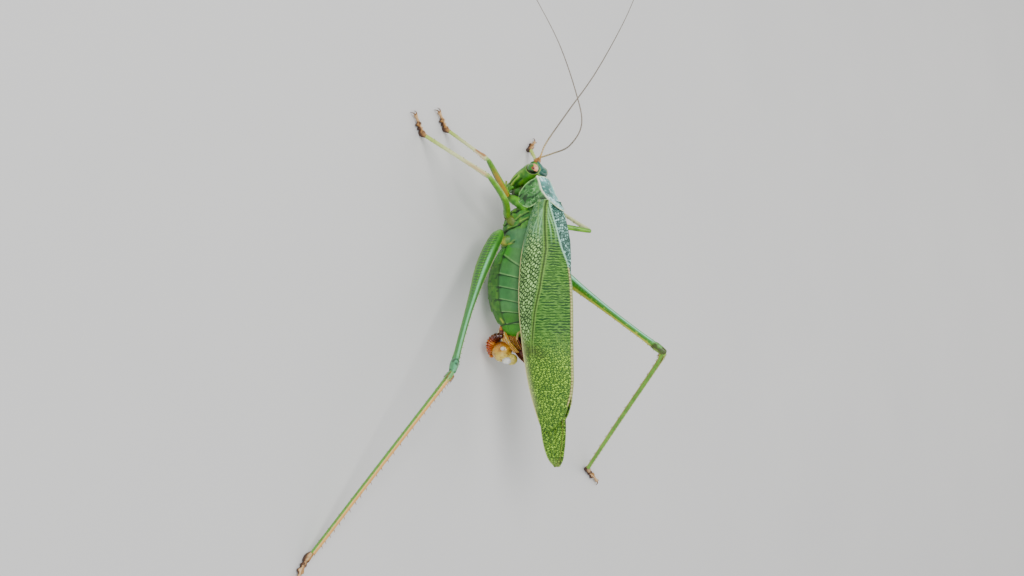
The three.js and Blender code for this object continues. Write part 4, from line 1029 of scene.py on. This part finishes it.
def wing_paint(y, z, top, crest, low_edge, rear):
    """Tint, and the zone weights with the cover in the last place."""
    vein_y = [-27, -24, -20.9, -18.4, -15.3, -11.2, -7.9, -4.6, -2.7, 0.15, 3.5]
    vein_z = [4.7, 4.35, 3.95, 3.95, 4.15, 4.95, 5.8, 6.3, 6.5, 6.4, 6.3]
    off = z - np.interp(y, vein_y, vein_z)
    on_side = 1 - top
    vein = np.exp(-(off / 0.09) ** 4) * on_side * fade(-y, 13, 17)
    beside = bell(np.abs(off) - 0.18, 0.07) * on_side * fade(-y, 16, 20)
    second = bell(off + 0.75 + 0.02 * y, 0.08) * on_side * smooth(y, -1.5, 0.5)
    fan = np.zeros_like(y)
    for k in range(-4, 5):
        fan = np.maximum(fan, bell(off - (0.18 + 0.4 * k) * smooth(4.4 - y, 0, 5), 0.07))
    fan = (fan * on_side * smooth(y, -2.6, 0.6) * (crest > 0.3) * (np.abs(off) > 0.25)
            * smooth(low_edge, 0.2, 1))
    haze = np.maximum(bell(low_edge, 1.0) * smooth(y, -5.5, -1.5), 0.8 * smooth(y, -2.2, 1.2) * (off < 0))
    haze = haze * on_side
    costal = smooth(-off, 0.2, 0.6) * on_side * fade(-y, 13.5, 16.5)
    distal = smooth(-y, 12.5, 18.5)
    dorsal = top * smooth(y, -9.5, -4.5)
    bead = (smooth(np.cos(2 * np.pi * y / 0.42), 0.1, 0.6) * bell(crest - 0.1, 0.1) * smooth(-y, 3, 6)
            * fade(-y, 22.8, 23.6))
    ridge = top * smooth(-y, 5, 8) * fade(-y, 22.8, 23.8) * (0.35 + 0.65 * bell(crest, 0.3))
    pale_crest = bell(crest, np.where(y > -4, 0.13, 0.1)) * fade(-y, 22.8, 23.6)
    margin = bell(low_edge, 0.11) * smooth(-y, 0, 3) * fade(-y, 25, 25.8)
    glassy = smooth(-y, 12.5, 16) * fade(-y, 21.5, 25) * bell(low_edge, 0.62)
    # A brownish patch over the lower wing near the tail: painted shadow.
    cast_shadow = (bell(y + 15.9 + 0.25 * (z - 3.5), 0.85) * smooth(6.5 - z, 0, 1.4) * on_side
            * (0.5 + blotch(np.stack([y, z, 0 * y], -1), 0.5, 45)))
    col = np.broadcast_to(rgb("3f7f2c"), y.shape + (3,)).copy()
    cover = np.zeros_like(y)
    clouds = patches(np.stack([y * 1.5, z * 1.5, 0 * y], -1), 0.5, 44, 0.3, 0.7)
    layers = (
        (0.88 * haze, mix("5c9460", "7aa684", clouds)),
        (0.45 * cast_shadow, rgb("4e4c24")),
        (0.5 * glassy, rgb("dfe0b0")),
        (0.8 * fan, rgb("a4d8a4")),
        (0.6 * second, VEIN_EDGE),
        (0.75 * beside, VEIN_EDGE),
        (0.97 * vein, R_VEIN),
        (margin, CREAM),
        (0.3 * rear, rgb("6fae3a")),
        (pale_crest, np.where((y > -5)[..., None], rgb("bcecd0"), CREAM)),
        (0.8 * ridge, rgb("d0d090")),
        (0.8 * bead, BEAD),
    )
    for weight, colour in layers:
        weight = np.clip(weight, 0, 1)
        col = mix(col, colour, weight / np.maximum(weight + cover * (1 - weight), 1e-6))
        cover = cover + (1 - cover) * weight
    lift = 0.05 * vein - 0.03 * beside + 0.05 * margin + 0.05 * pale_crest + 0.02 * second + 0.02 * fan
    return col, np.stack([costal, distal, dorsal, cover], -1), lift


def make_tegmen(name, side):
    n, m, side_share = 420, 150, 5 / 7
    u, v = np.linspace(0, 1, n)[:, None], np.linspace(0, 1, m)[None]
    y, low, crest, edge_x, wide_x, crest_x = np.moveaxis(rows_at(TEGMEN, u), -1, 0)
    back = open_back(y)
    inner = -0.05 - 0.68 * smooth(-y, 20.5, 23.5)
    if side < 0:
        inner = inner + 0.9 * back
        lift, drop, dip, spread = 0.5, 0, 0, 1
    else:  # the right wing lies under the left one
        inner = inner - 0.65 * back
        lift, drop, dip = -0.6, 0.45, 0.1
        spread = 1 - 0.08 * smooth(-y, 0.5, 3) * fade(-y, 12, 20)
    high = crest - (drop + (dip - drop) * back)
    up, over = np.clip(v / side_share, 0, 1), np.clip((v - side_share) / (1 - side_share), 0, 1)
    bend = 2 * wide_x * spread - (edge_x * spread + crest_x) / 2
    x = (1 - up) ** 2 * edge_x * spread + 2 * up * (1 - up) * bend + up ** 2 * crest_x
    flank = np.stack([-x, y + 0 * x, low + (high - low) * up], -1)
    roof_z = high + lift * over * back + 0.06 * np.sin(np.pi * over) * (1 - back)
    roof = np.stack([-crest_x + (inner + crest_x) * over, y + 0 * over, roof_z], -1)
    p = np.where((v <= side_share)[..., None] & (u >= 0)[..., None], flank, roof)
    top = ((v > side_share) & (u >= 0)).astype(float)
    run = arc(p, 1)
    at_crest = run[:, int(m * side_share)][:, None]
    rear = bell(arc(p, 0)[-1:] - arc(p, 0), 0.1)
    yy, zz = p[..., 1], p[..., 2]
    col, zone, hump = wing_paint(yy, zz, top, np.abs(run - at_crest), run, rear)
    wavy = 0.05 * (blotch(np.stack([run * 0.8, yy * 1.2, 0 * yy], -1), 1.1, 41 + side) - 0.5)
    out = np.stack([np.where(top > 0, 0, -1.0), 0 * yy, np.where(top > 0, 1.0, 0)], -1)
    nn = normals(p)
    nn = nn * np.sign((nn * out).sum(-1, keepdims=True))
    p = p + nn * (hump + wavy)[..., None]
    uv = np.stack([4.3 - yy, run], -1)
    if side > 0:
        p, out = p * np.array([-1, 1, 1]), out * np.array([-1, 1, 1])
    skin = Skin().shell(placed(p, BODY), col, 0.09, uv=uv, zone=zone, out=out @ BODY[:3, :3].T)
    return skin.build(name + "_wing", WING, [name], "wing_green")


def make_hindwing(name, side):
    n, m = 260, 60
    u, v = np.linspace(0, 1, n)[:, None], np.linspace(0, 1, m)[None]
    y, low, high = np.moveaxis(rows_at(HINDWING, u), -1, 0)
    tip_round = np.sqrt(np.clip(1 - smooth(-y, 29.6, 31.3) ** 2.4, 0.03, 1))
    z = (low + high) / 2 + (high - low) * (v - 0.5) * tip_round
    fold = 0.07 * np.sin(2 * np.pi * 3.5 * v + 0.6) * smooth(-y, 18, 24)
    p = np.stack([-0.5 + fold, y + 0 * v, z], -1)
    run, along = arc(p, 1), arc(p, 0)
    edge = np.minimum(run, along[-1:] - along)
    cover = np.maximum(0.9 * bell(edge, 0.1), 0.5 * bell(run[:, -1:] - run, 0.1))
    tip = smooth(-y, 29.8, 31.2) + 0 * v
    col = mix(mix("b9cf7c", "7a6a35", smooth(v, 0.5, 0.95) + 0 * u), "c9dc92", 0.6 * tip)
    cover = np.maximum(cover, 0.35 * tip)
    zone = np.stack([0 * cover, 1 + 0 * cover, 0 * cover, cover], -1)
    out = np.broadcast_to(np.array([-1.0, 0, 0]), p.shape)
    uv = np.stack([3.5 - p[..., 1], run], -1)
    if side > 0:
        p, out = p * np.array([-1, 1, 1]), out * np.array([-1, 1, 1])
    skin = Skin().shell(placed(p, BODY), col, 0.16, uv=uv, zone=zone, out=out)
    return skin.build(name + "_fold", WING, [name], "wing_green")


# ---------- tail end ----------

def make_ovipositor():
    n, m = 120, 60
    r = rows_at(OVIPOSITOR, np.linspace(0, 1, n))
    centre = np.stack([0 * r[:, 0], r[:, 0], r[:, 1]], -1)
    t = unit(np.gradient(centre, axis=0))
    up = np.cross(np.array([1.0, 0, 0]), t)
    a = 2 * np.pi * np.arange(m) / m
    ca, sa = np.cos(a)[None, :, None], np.sin(a)[None, :, None]
    share = np.linspace(0, 1, n)[:, None]
    thick = (0.4 - 0.22 * share)[..., None]
    p = (centre[:, None] + np.array([1.0, 0, 0]) * ca * np.abs(ca) ** 0.3 * thick
            + up[:, None] * r[:, 2][:, None, None] * sa)
    seam = bell(np.sin(a) - 0.1, 0.1)[None] * (1 - share * 0.3)
    hump = -0.05 * seam + 0.03 * (blotch(p, 0.5, 51) - 0.5)
    p = raised(p, hump)
    col = mix(HORN, HORN_DARK, np.clip(patches(p, 0.7, 52, 0.4, 0.8) * 0.7 + 0.6 * seam, 0, 1))
    col = mix(col, HORN_PALE, 0.6 * fade(share + 0 * a, 0.02, 0.2))
    # A lighter lower edge: painted highlight.
    low = smooth(np.sin(a)[None] + 0 * share, 0.8, 0.98)
    col = mix(col, "a8552f", 0.5 * low)
    skin = Skin().tube(placed(p, BODY), col)
    strands = np.random.default_rng(5)
    for k in range(14):
        x, low, width = -0.5 - 0.25 * strands.random(), -1.3 + 0.13 * k, 0.05 + 0.05 * strands.random()
        strand = [
            (x, -12.9, low), (x - 0.12, -13.7, low + 0.15), (x - 0.05, -14.6, low + 0.45),
            (x + 0.05, -15.5 + 0.1 * strands.random(), low + 0.9),
        ]
        path, run = along_curve([strand[0]] + strand + [strand[-1]], 50)
        tone = mix("d8b23c", "a4581c", strands.random())
        skin.tube(placed(tube_grid(path, width * (1 - 0.6 * run / run[-1]), 10), BODY), tone)
    skin.build("ovipositor_blade", BLADE, ["ovipositor"], "blade_brown")


def make_cerci():
    for name, side in (("cercus_left", -1), ("cercus_right", 1)):
        points = [
            (side * 1.2, -13.15, 1.75), (side * 1.3, -13.2, 1.15),
            (side * 1.22, -13.7, 0.85), (side * 1.12, -14.2, 0.72),
        ]
        path, run = along_curve([points[0]] + points + [points[-1]], 60)
        p = tube_grid(path, 0.24 - 0.12 * run / run[-1], 18)
        col = mix("b8b45a", "e4c48c", run / run[-1])[:, None]
        skin = Skin().tube(placed(p, BODY), col)
        skin.build(name + "_hook", LEG_SKIN, [name], "pale_leg")

def make_sac():
    """The amber sac of the packet under the ovipositor, with a yellow drop and a clear one on it, and a
    raised white spot of painted highlight.
    """
    skin = Skin()
    p, d = ball_grid(SAC_AT, (1.28, SAC_RADIUS, SAC_RADIUS), 60, 80)
    p = SAC_AT + (p - SAC_AT) * (1 + 0.07 * (blotch(p, 0.6, 53) - 0.5))[..., None]
    # Paler towards the tail and darker towards the body: painted light and shade.
    col = mix("e6b43a", "f6e078", smooth(-d[..., 1], -0.4, 0.6))
    col = painted(
        col,
        ("a8742c", 0.5 * patches(p, 0.3, 59, 0.6, 0.8)),
        ("fffbe8", 0.7 * patches(p, 0.6, 55, 0.55, 0.75) * smooth(-d[..., 1] - 0.3 * d[..., 2], 0.1, 0.6)),
        ("9c5c1e", 0.7 * smooth(d[..., 1], 0.25, 0.8)),
    )
    skin.grid(placed(p, BODY), col, wrap=True)
    drops_and_glint = (
        ((0.2, -1.15, 1.35), (0.7, 0.78, 0.85), "f8e884"),
        # A clear drop, painted near white: partly the drop, partly painted glint.
        ((-0.35, -1.32, 0.95), (0.5, 0.5, 0.68), "fffef4"),
        # A raised white spot facing the camera: painted highlight.
        ((-0.85, 0.3, 0.62), (0.42, 0.32, 0.36), "fff6dc"),
    )
    for at, radii, colour in drops_and_glint:
        p, _ = ball_grid(SAC_AT + np.array(at), radii, 36, 40)
        skin.grid(placed(p, BODY), rgb(colour), wrap=True)
    skin.build("spermatophore_ball", AMBER, ["spermatophore_sac"], "amber")


def make_lobe():
    """The ribbed lobe that curls round the sac."""
    n, m = 190, 60
    share = np.linspace(0, 1, n)
    angle = -0.08 + 1.95 * share
    out = np.stack([0 * angle, np.cos(angle), -np.sin(angle)], -1)
    rib = 0.5 + 0.5 * np.cos(2 * np.pi * share * 11)
    size = ((0.4 + 0.28 * np.sin(np.pi * share ** 0.75)) * (0.87 + 0.13 * rib)
            * (1 - 0.35 * smooth(share, 0.7, 1)))
    reach = SAC_RADIUS + 0.66 - 0.3 * smooth(share, 0.2, 0.9)
    a = 2 * np.pi * np.arange(m) / m
    ring = np.array([1.85, 0, 0]) * np.cos(a)[None, :, None] + out[:, None] * np.sin(a)[None, :, None]
    p = (SAC_AT + out * reach[:, None])[:, None] + size[:, None, None] * ring
    p = raised(p, 0.12 * (blotch(p, 0.45, 54) - 0.5))
    col = mix("9c4416", "ec9c40", rib[:, None] * (0.35 + 0.65 * np.sin(a)[None] ** 2))
    col = painted(
        col,
        ("f4c468", 0.6 * patches(p, 0.4, 56, 0.6, 0.8)),
        ("4c1a10", 0.8 * fade(share, 0.1, 0.45)[:, None] + 0 * a),
    )
    skin = Skin().tube(placed(p, BODY), col)
    skin.build("spermatophore_curl", RUST, ["spermatophore_lobe"], "lobe_brown")

def make_stalk():
    """The stalk that joins the packet to the tail, wrapped in dried strands."""
    points = [
        (-0.8, -12.3, -1.6), (-0.8, -12.6, -1.65), (-0.75, -13.5, -1.5), (-0.6, -14.5, -1.05),
        (-0.6, -14.7, -0.95),
    ]
    path, run = along_curve(points, 60)
    p = tube_grid(path, 0.4 + 0.2 * smooth(run, 0, 1.2), 40)
    p = raised(p, 0.3 * (blotch(p, 0.4, 57) - 0.5))
    col = mix("7c3616", "e09a3c", patches(p, 0.35, 58, 0.3, 0.65))
    skin = Skin().tube(placed(p, BODY), col)
    fine = ((-1.0, -12.5, -1.5), (-1.2, -13.2, -1.5), (-1.25, -14.0, -1.1), (-1.15, -14.8, -0.8))
    for k in range(9):
        sway, rise = 0.05 * math.sin(5 * k), 0.14 * (k - 4)
        path, run = along_curve([(x, y + sway, z + rise) for x, y, z in fine], 40)
        strand = tube_grid(path, 0.07 * (1 - 0.5 * run / run[-1]), 8)
        skin.tube(placed(strand, BODY), rgb("ecc04c" if k % 3 else "f8e8a0"))
    coarse = ((-1.0, -13.0, -1.5), (-1.15, -14.1, -1.0), (-1.05, -15.0, -0.25), (-0.8, -15.9, 0.45))
    for k in range(6):
        path, run = along_curve([(x, y, z + 0.15 * (k - 3)) for x, y, z in coarse], 40)
        strand = tube_grid(path, 0.1 * (1 - 0.5 * run / run[-1]), 8)
        skin.tube(placed(strand, BODY), rgb("f0cc58" if k % 2 else "c88430"))
    skin.build("spermatophore_stalk", RUST, ["spermatophore_neck"], "lobe_brown")


# ---------- legs ----------

SHOWN = np.array([-0.777, -0.122, 0.617])  # the side of each limb that carries its stripes


def lateral(frame_axes, angle):
    """Where a point lies across the striped side: -1 to 1, and its mirror image on the other side."""
    _, across, up = frame_axes
    middle = math.atan2(SHOWN @ up, SHOWN @ across)
    return np.sin(angle - middle)


def femur_paint(kind, name, share, w, p, length):
    """The paint of a thigh. w is where each point lies across the striped side."""
    run = share * length
    cloud = patches(p, 0.8, 61, 0.35, 0.7)
    if kind == "hind":
        col = mix(FEMUR, "5aa52c", cloud)
        if name == "hind_left":
            bone = np.abs(w + 0.32)
            marks = (smooth(np.sin(2 * np.pi * (run / 0.5 + 0.9 * bone)), 0.1, 0.7)
                    * smooth(0.62 - bone, 0, 0.25) * fade(share, 0.42, 0.6) * smooth(share, 0.02, 0.08))
            col = painted(
                col,
                (FEMUR_DARK, 0.95 * marks),
                ("a3d24a", 0.5 * bell(bone, 0.06) * fade(share, 0.4, 0.6)),
                ("4f9c58", 0.7 * smooth(share, 0.35, 0.6)),
                ("3f7f28", 0.8 * smooth(w, 0.5, 0.7) * fade(w, 0.86, 0.94)),
                ("b9c46a", 0.8 * smooth(w, 0.9, 0.97)),
                # The mint stripe along the side is painted highlight.
                (MINT, 0.9 * np.exp(-((w - 0.2) / (0.16 + 0.3 * share)) ** 4) * smooth(share, 0.06, 0.24)),
                ("9cb43a", 0.5 * smooth(-w, 0.82, 0.97)),
            )
        else:
            col = mix("5aa838", OLIVE, 0.5 * smooth(-w, -0.1, 0.4) * cloud)
            col = painted(
                col,
                (YELLOW, 0.95 * smooth(-w, 0.5, 0.75)),
                (YELLOW, 0.7 * patches(p, 0.3, 62, 0.7, 0.82) * smooth(-w, -0.2, 0.3)),
                ("6cc09a", 0.8 * smooth(w, 0.15, 0.4) * (1 - 0.6 * smooth(w, 0.84, 0.96))),
                ("c0f0dc", 0.9 * smooth(w, 0.5, 0.62) * fade(w, 0.78, 0.9)),
                (PLATE_DARK, 0.6 * bell(w - 0.1, 0.08) * fade(share, 0.5, 0.8)),
            )
        knee = smooth(share, 0.9, 0.94)
        cap, blot = ("67b48a", "2a5a34") if name == "hind_left" else ("78a844", "5a5a24")
        col = painted(
            col,
            (cap, 0.7 * knee),
            (blot, 0.7 * patches(p, 0.45, 63, 0.5, 0.7) * knee),
            ("8fd05a", 0.5 * fade(share, 0.0, 0.07)),
        )
        return col
    col = mix(LIME, "78b02a", cloud)
    col = painted(
        col,
        # Darker along one side: painted shade.
        ("4d8a22", 0.5 * smooth(w, 0.45, 0.9)),
        ("cfe08a", 0.6 * smooth(-w, 0.7, 0.95)),
    )
    if name == "front_left":
        streak = smooth(w, -0.72, -0.4) * fade(w, 0.76, 0.92) * fade(share, 0.55, 0.95)
        col = painted(
            col,
            (AMBER_STREAK, 0.9 * streak),
            ("3a3a14", 0.7 * bell(w - 0.9, 0.06) * fade(share, 0.6, 0.9)),
        )
    if kind == "middle":
        col = mix(col, "a8b23a", 0.5 * bell(w - 0.1, 0.25) * fade(share, 0.2, 0.8))
    return mix(col, "7fae3c", 0.6 * smooth(share, 0.92, 0.98))


def tibia_paint(name, share, w, p):
    if name == "hind_left":
        col = mix("7cb648", SHIN_BROWN, smooth(w, -0.08, 0.12))
        col = mix(col, "f4e49a", 0.6 * bell(w - 0.02, 0.12))
        return mix(col, "7ab870", 1 - smooth(share, 0.02, 0.07))
    if name == "hind_right":
        col = mix(SHIN, "7cb438", patches(p, 0.9, 64, 0.3, 0.7))
        col = mix(col, "d4e07c", 0.8 * smooth(w, 0.5, 0.75))
        return mix(col, "d8b85c", 0.7 * smooth(-w, 0.5, 0.9))
    col = mix(PALE_SHIN, "c9dc7a", smooth(share, 0.55, 0.95))
    if name == "front_left":
        patch = smooth(share, 0.05, 0.1) * fade(share, 0.3, 0.36)
        col = painted(
            col,
            ("c49060", 0.85 * patch * smooth(0.3 - w, 0, 0.5)),
            ("f2dcc0", 0.8 * patch * smooth(w, 0.1, 0.5)),
        )
    if name in ("middle_left", "front_right"):
        col = mix(col, "d9b285", 0.7 * fade(share, 0.25, 0.45) * bell(w - 0.1, 0.5))
    return mix(col, "8fbf4a", 0.6 * fade(share, 0.0, 0.06))


def make_tarsus(name, ankle, toe):
    skin = Skin()
    start, end = np.array([ankle[0], ankle[1], 0.0]), np.array([*toe, 0.0])
    along = unit(end - start)
    across = np.cross(along, [0, 0, 1.0])
    n, m = 130, 36
    r = rows_at(TARSUS, np.linspace(0, 1, n))
    share, half, low, high = (r[:, k, None, None] for k in range(4))
    a = 2 * np.pi * np.arange(m) / m
    p = start + (end - start) * share + across * half * np.cos(a)[None, :, None]
    rise = (low + high) / 2 + 0.6 * (high - low) * np.sin(a)[None, :, None]
    p = p + np.array([0, 0, 1.0]) * np.clip(rise, low, high)
    side = (p - start) @ across
    split = 0.12 * bell(side, 0.1)[..., None] * smooth(share, 0.3, 0.4) * fade(share, 0.66, 0.7)
    p = p - np.array([0, 0, 1.0]) * split * (rise > (low + high) / 2)
    top = smooth(np.sin(a)[None] + 0 * side, -0.1, 0.7)
    # Dark underneath and pale along the top: painted shade and painted highlight. The dark blotches and the
    # paler last segment are the foot's own.
    col = mix(FOOT_DARK, FOOT, top)
    col = painted(
        col,
        (FOOT_PALE, 0.65 * top * smooth(np.cos(a - 0.9)[None] + 0 * side, 0.7, 0.98)),
        (FOOT_DARK, 0.75 * patches(p, 0.42, 65, 0.5, 0.66) * smooth(r[:, 0, None] + 0 * side, 0.1, 0.3)
            * fade(r[:, 0, None] + 0 * side, 0.66, 0.75)),
        (mix(FOOT, FOOT_PALE, 0.6 + 0 * side), smooth(r[:, 0, None] + 0 * side, 0.68, 0.78) * 0.8),
    )
    skin.tube(p, col)
    for turn_by in (-1, 1):
        heading = np.array(Matrix.Rotation(turn_by * math.radians(30), 3, "Z")) @ along
        base = end - along * 0.1
        points = [
            base + [0, 0, 0.42],
            base + heading * 0.3 + [0, 0, 0.5],
            base + heading * 0.62 + [0, 0, 0.36],
            base + heading * 0.82 + [0, 0, 0.06],
        ]
        path, run = along_curve(points, 40)
        q = tube_grid(path, 0.12 * (1 - 0.85 * run / run[-1]) + 0.01, 12)
        skin.tube(q, np.broadcast_to(mix(FOOT, FOOT_DARK, run / run[-1])[:, None], q.shape))
    rng = np.random.default_rng(len(name) + 7)
    for _ in range(26):
        i, j = rng.integers(8, n - 8), rng.integers(0, m)
        out = p[i, j] - p[i].mean(0)
        if p[i, j, 2] > 0.25:
            skin.spike(p[i, j], out + 0.5 * along, 0.2, 0.012, rgb("7a5a3a"))
    return skin.build("foot_" + name, FOOT_SKIN, ["tarsus_" + name], "foot_brown")


def make_coxa(name, kind, hip, joint, base):
    """The hip of a leg and the knob between it and the thigh."""
    skin = Skin()
    c = KINDS[kind]["coxa"]
    rows = [(0, c, c, 0), (0.6, c * 0.92, c * 0.92, 0), (1, 0.42, 0.42, 0)]
    p, share, _, _ = limb_grid(hip, joint, (0, 1, 0.3), rows, 50, 48)
    p = raised(p, 0.06 * (blotch(p, 0.6, 66) - 0.5))
    light, dark, end, low, high, radii = {
        "front": ("78bd2e", "4f9422", "6a7a24", "78682a", "8c8c34", 0.44),
        "middle": ("7a8c2e", "5a6a20", "6a7a24", "78682a", "8c8c34", 0.44),
        "hind": ("a0b048", "6a983c", "ccc05c", "c8b450", "ccc85c", (0.55, 0.6, 0.5)),
    }[kind]
    col = mix(light, dark, patches(p, 0.7, 67, 0.35, 0.7))
    skin.tube(p, mix(col, end, 0.7 * smooth(share, 0.55, 1)))
    knob, d = ball_grid(joint + 0.1 * (base - joint), radii)
    skin.grid(knob, mix(low, high, smooth(d[..., 2], -0.2, 0.8)), wrap=True)
    skin.build("hip_" + name, BODY_SKIN, ["coxa_" + name], "green_cuticle")


def make_femur(name, kind, base, knee, back, sag):
    skin = Skin()
    rows = [(a, b, c, d * sag) for a, b, c, d in KINDS[kind]["femur"]]
    length = np.linalg.norm(knee - base)
    p, share, angle, axes = limb_grid(base, knee, back, rows, int(60 + length * 12), 72)
    w = lateral(axes, angle)
    if kind == "hind":
        keel = 0.05 * bell(np.abs(w) - 0.97, 0.04)
        rise = (0.03 * np.sin(2 * np.pi * share * length / 0.5) * smooth(0.5 - np.abs(w + 0.3), 0, 0.3)
                * fade(share, 0.42, 0.6))
        rise = rise - 0.07 * bell(share - 0.925, 0.008)
        p = raised(p, keel + rise)
    skin.tube(p, femur_paint(kind, name, share, w, p, length))
    if kind == "hind":
        along = axes[0]
        for k in range(20):
            i = int((0.3 + 0.032 * k) * (p.shape[0] - 1))
            j = int(np.argmax(w[i] if name == "hind_left" else -w[i]))
            out = p[i, j] - p[i].mean(0)
            way = out + 0.5 * along * np.linalg.norm(out)
            skin.spike(p[i, j], way, 0.2, 0.045, rgb("c9cf7a"), rgb("6b4a22"))
    skin.build("thigh_" + name, LEG_SKIN, ["femur_" + name], "green_cuticle")


# Rows of spines along each shin: degrees round it, how many, and their length.
SPINES = {
    "hind": ((35, 44, 0.4), (145, 44, 0.4), (250, 20, 0.3), (290, 20, 0.3)),
    "middle": ((250, 9, 0.32), (290, 9, 0.32), (60, 6, 0.2)),
    "front": ((250, 8, 0.32), (290, 8, 0.32)),
}


def make_tibia(name, kind, knee, ankle, back):
    skin = Skin()
    start = knee + unit(ankle - knee) * 0.02
    n = int(60 + np.linalg.norm(ankle - knee) * 10)
    p, share, angle, (along, across, up) = limb_grid(start, ankle, back, KINDS[kind]["tibia"], n, 40)
    w = lateral((along, across, up), angle)
    skin.tube(p, tibia_paint(name, share, w, p))

    def outward(degrees):
        a = math.radians(degrees)
        return across * math.cos(a) + up * math.sin(a)

    tint = rgb("d8a860" if name == "hind_left" else "d8cf86")
    for degrees, count, size in SPINES[kind]:
        way = outward(degrees)
        for k in range(count):
            s = 0.09 + 0.88 * (k + 0.5) / count
            i = int(s * (p.shape[0] - 1))
            j = int(np.argmax((p[i] - p[i].mean(0)) @ way))
            skin.spike(p[i, j] - 0.04 * way, way + 0.75 * along, size, 0.06, tint, rgb("6a4424"))
    # The spurs round the ankle, and the hairs.
    size = 0.42 if kind == "hind" else 0.25
    for degrees in (60, 120, 240, 300):
        way = outward(degrees)
        at = ankle - along * 0.1 + way * 0.2
        skin.spike(at, way * 0.5 + along, size, 0.06, rgb("b98a4a"), rgb("4a2a14"))
    rng = np.random.default_rng(11 + len(name))
    for _ in range(90 if kind == "hind" else 40):
        i, j = rng.integers(10, p.shape[0] - 10), rng.integers(0, p.shape[1])
        skin.spike(p[i, j], (p[i, j] - p[i].mean(0)) * 1.2 + 0.25 * along, 0.17, 0.01, rgb("9aa860"))
    slot = "shin_green" if kind == "hind" else "pale_leg"
    skin.build("shin_" + name, LEG_SKIN, ["tibia_" + name], slot)


def make_leg(name, kind, side, knee, ankle, toe, sag=1.0):
    hip, joint, base = (placed(np.array(KINDS[kind][key]) * np.array([side, 1, 1]), BODY)
            for key in ("hip", "joint", "base"))
    knee, ankle = np.array(knee, float), np.array(ankle, float)
    back = unit(knee - base) - unit(ankle - knee) + np.array([0, 0, 0.2])
    make_coxa(name, kind, hip, joint, base)
    make_femur(name, kind, base, knee, back, sag)
    make_tibia(name, kind, knee, ankle, back)
    make_tarsus(name, ankle, toe)


# ---------- the animal ----------

make_abdomen()
make_thorax()
make_pronotum()
make_head()
make_eyes()
make_mouth()
make_palps()
make_feelers()
make_tegmen("tegmen_left", -1)
make_tegmen("tegmen_right", 1)
make_hindwing("hindwing_left", -1)
make_hindwing("hindwing_right", 1)
make_ovipositor()
make_cerci()
make_sac()
make_lobe()
make_stalk()
for leg_name, leg in LEGS.items():
    make_leg(leg_name, **leg)


# ---------- floor, light and camera ----------

def make_floor():
    bpy.ops.mesh.primitive_plane_add(size=3, location=(0, 0, 0))
    floor = bpy.context.object
    floor.name = "floor"
    n = Nodes("floor_paper")
    place = n.add("TexCoord", out=3)
    haze = n.add("TexNoise", {"Vector": place, "Scale": 30.0, "Detail": 4.0})
    paper = n.mix(haze, rgb("dfdedc"), rgb("e5e4e1"))
    floor.data.materials.append(n.shade(Base_Color=paper, Roughness=0.85))


def make_light(name, size, power, place, colour=(1, 1, 1)):
    data = bpy.data.lights.new(name, "AREA")
    data.size, data.energy, data.color = size, power, colour
    light = bpy.data.objects.new(name, data)
    light.location = place
    light.rotation_euler = (-Vector(place)).to_track_quat("-Z", "Y").to_euler()
    bpy.context.scene.collection.objects.link(light)


CAMERA_AT = np.array([-128.65, -27.09, 106.14])  # in the stance frame
CAMERA_TURN = (38.1, 8.9, -1.4)  # elevation, azimuth from -X, and roll, in degrees
LENS, SENSOR = 42.4, 36


def make_camera():
    elevation, azimuth, roll = (math.radians(angle) for angle in CAMERA_TURN)
    flat = -math.cos(elevation)
    back = Vector((flat * math.cos(azimuth), flat * math.sin(azimuth), math.sin(elevation)))
    right = (-back).cross(Vector((0, 1, 0))).normalized()
    up = right.cross(-back)
    right, up = right * math.cos(roll) + up * math.sin(roll), up * math.cos(roll) - right * math.sin(roll)
    data = bpy.data.cameras.new("camera")
    data.sensor_width, data.lens = SENSOR, LENS
    data.clip_start, data.clip_end = 0.005, 20
    camera = bpy.data.objects.new("camera", data)
    matrix = Matrix((right, up, back)).transposed().to_4x4()
    matrix.translation = Vector((CAMERA_AT + ORIGIN) * MM)
    camera.matrix_world = matrix
    bpy.context.scene.collection.objects.link(camera)
    bpy.context.scene.camera = camera


make_floor()
make_light("key", 0.25, 1.1, (-0.12, 0.10, 0.32))
make_light("fill", 0.4, 0.7, (-0.35, -0.25, 0.22), (0.93, 0.96, 1.0))
make_light("rim", 0.3, 0.6, (0.30, 0.05, 0.25), (1.0, 0.98, 0.94))
world = bpy.data.worlds.new("soft_sky")
world.use_nodes = True
world.node_tree.nodes["Background"].inputs[0].default_value = (0.9, 0.93, 1.0, 1)
world.node_tree.nodes["Background"].inputs[1].default_value = 0.55
bpy.context.scene.world = world
make_camera()
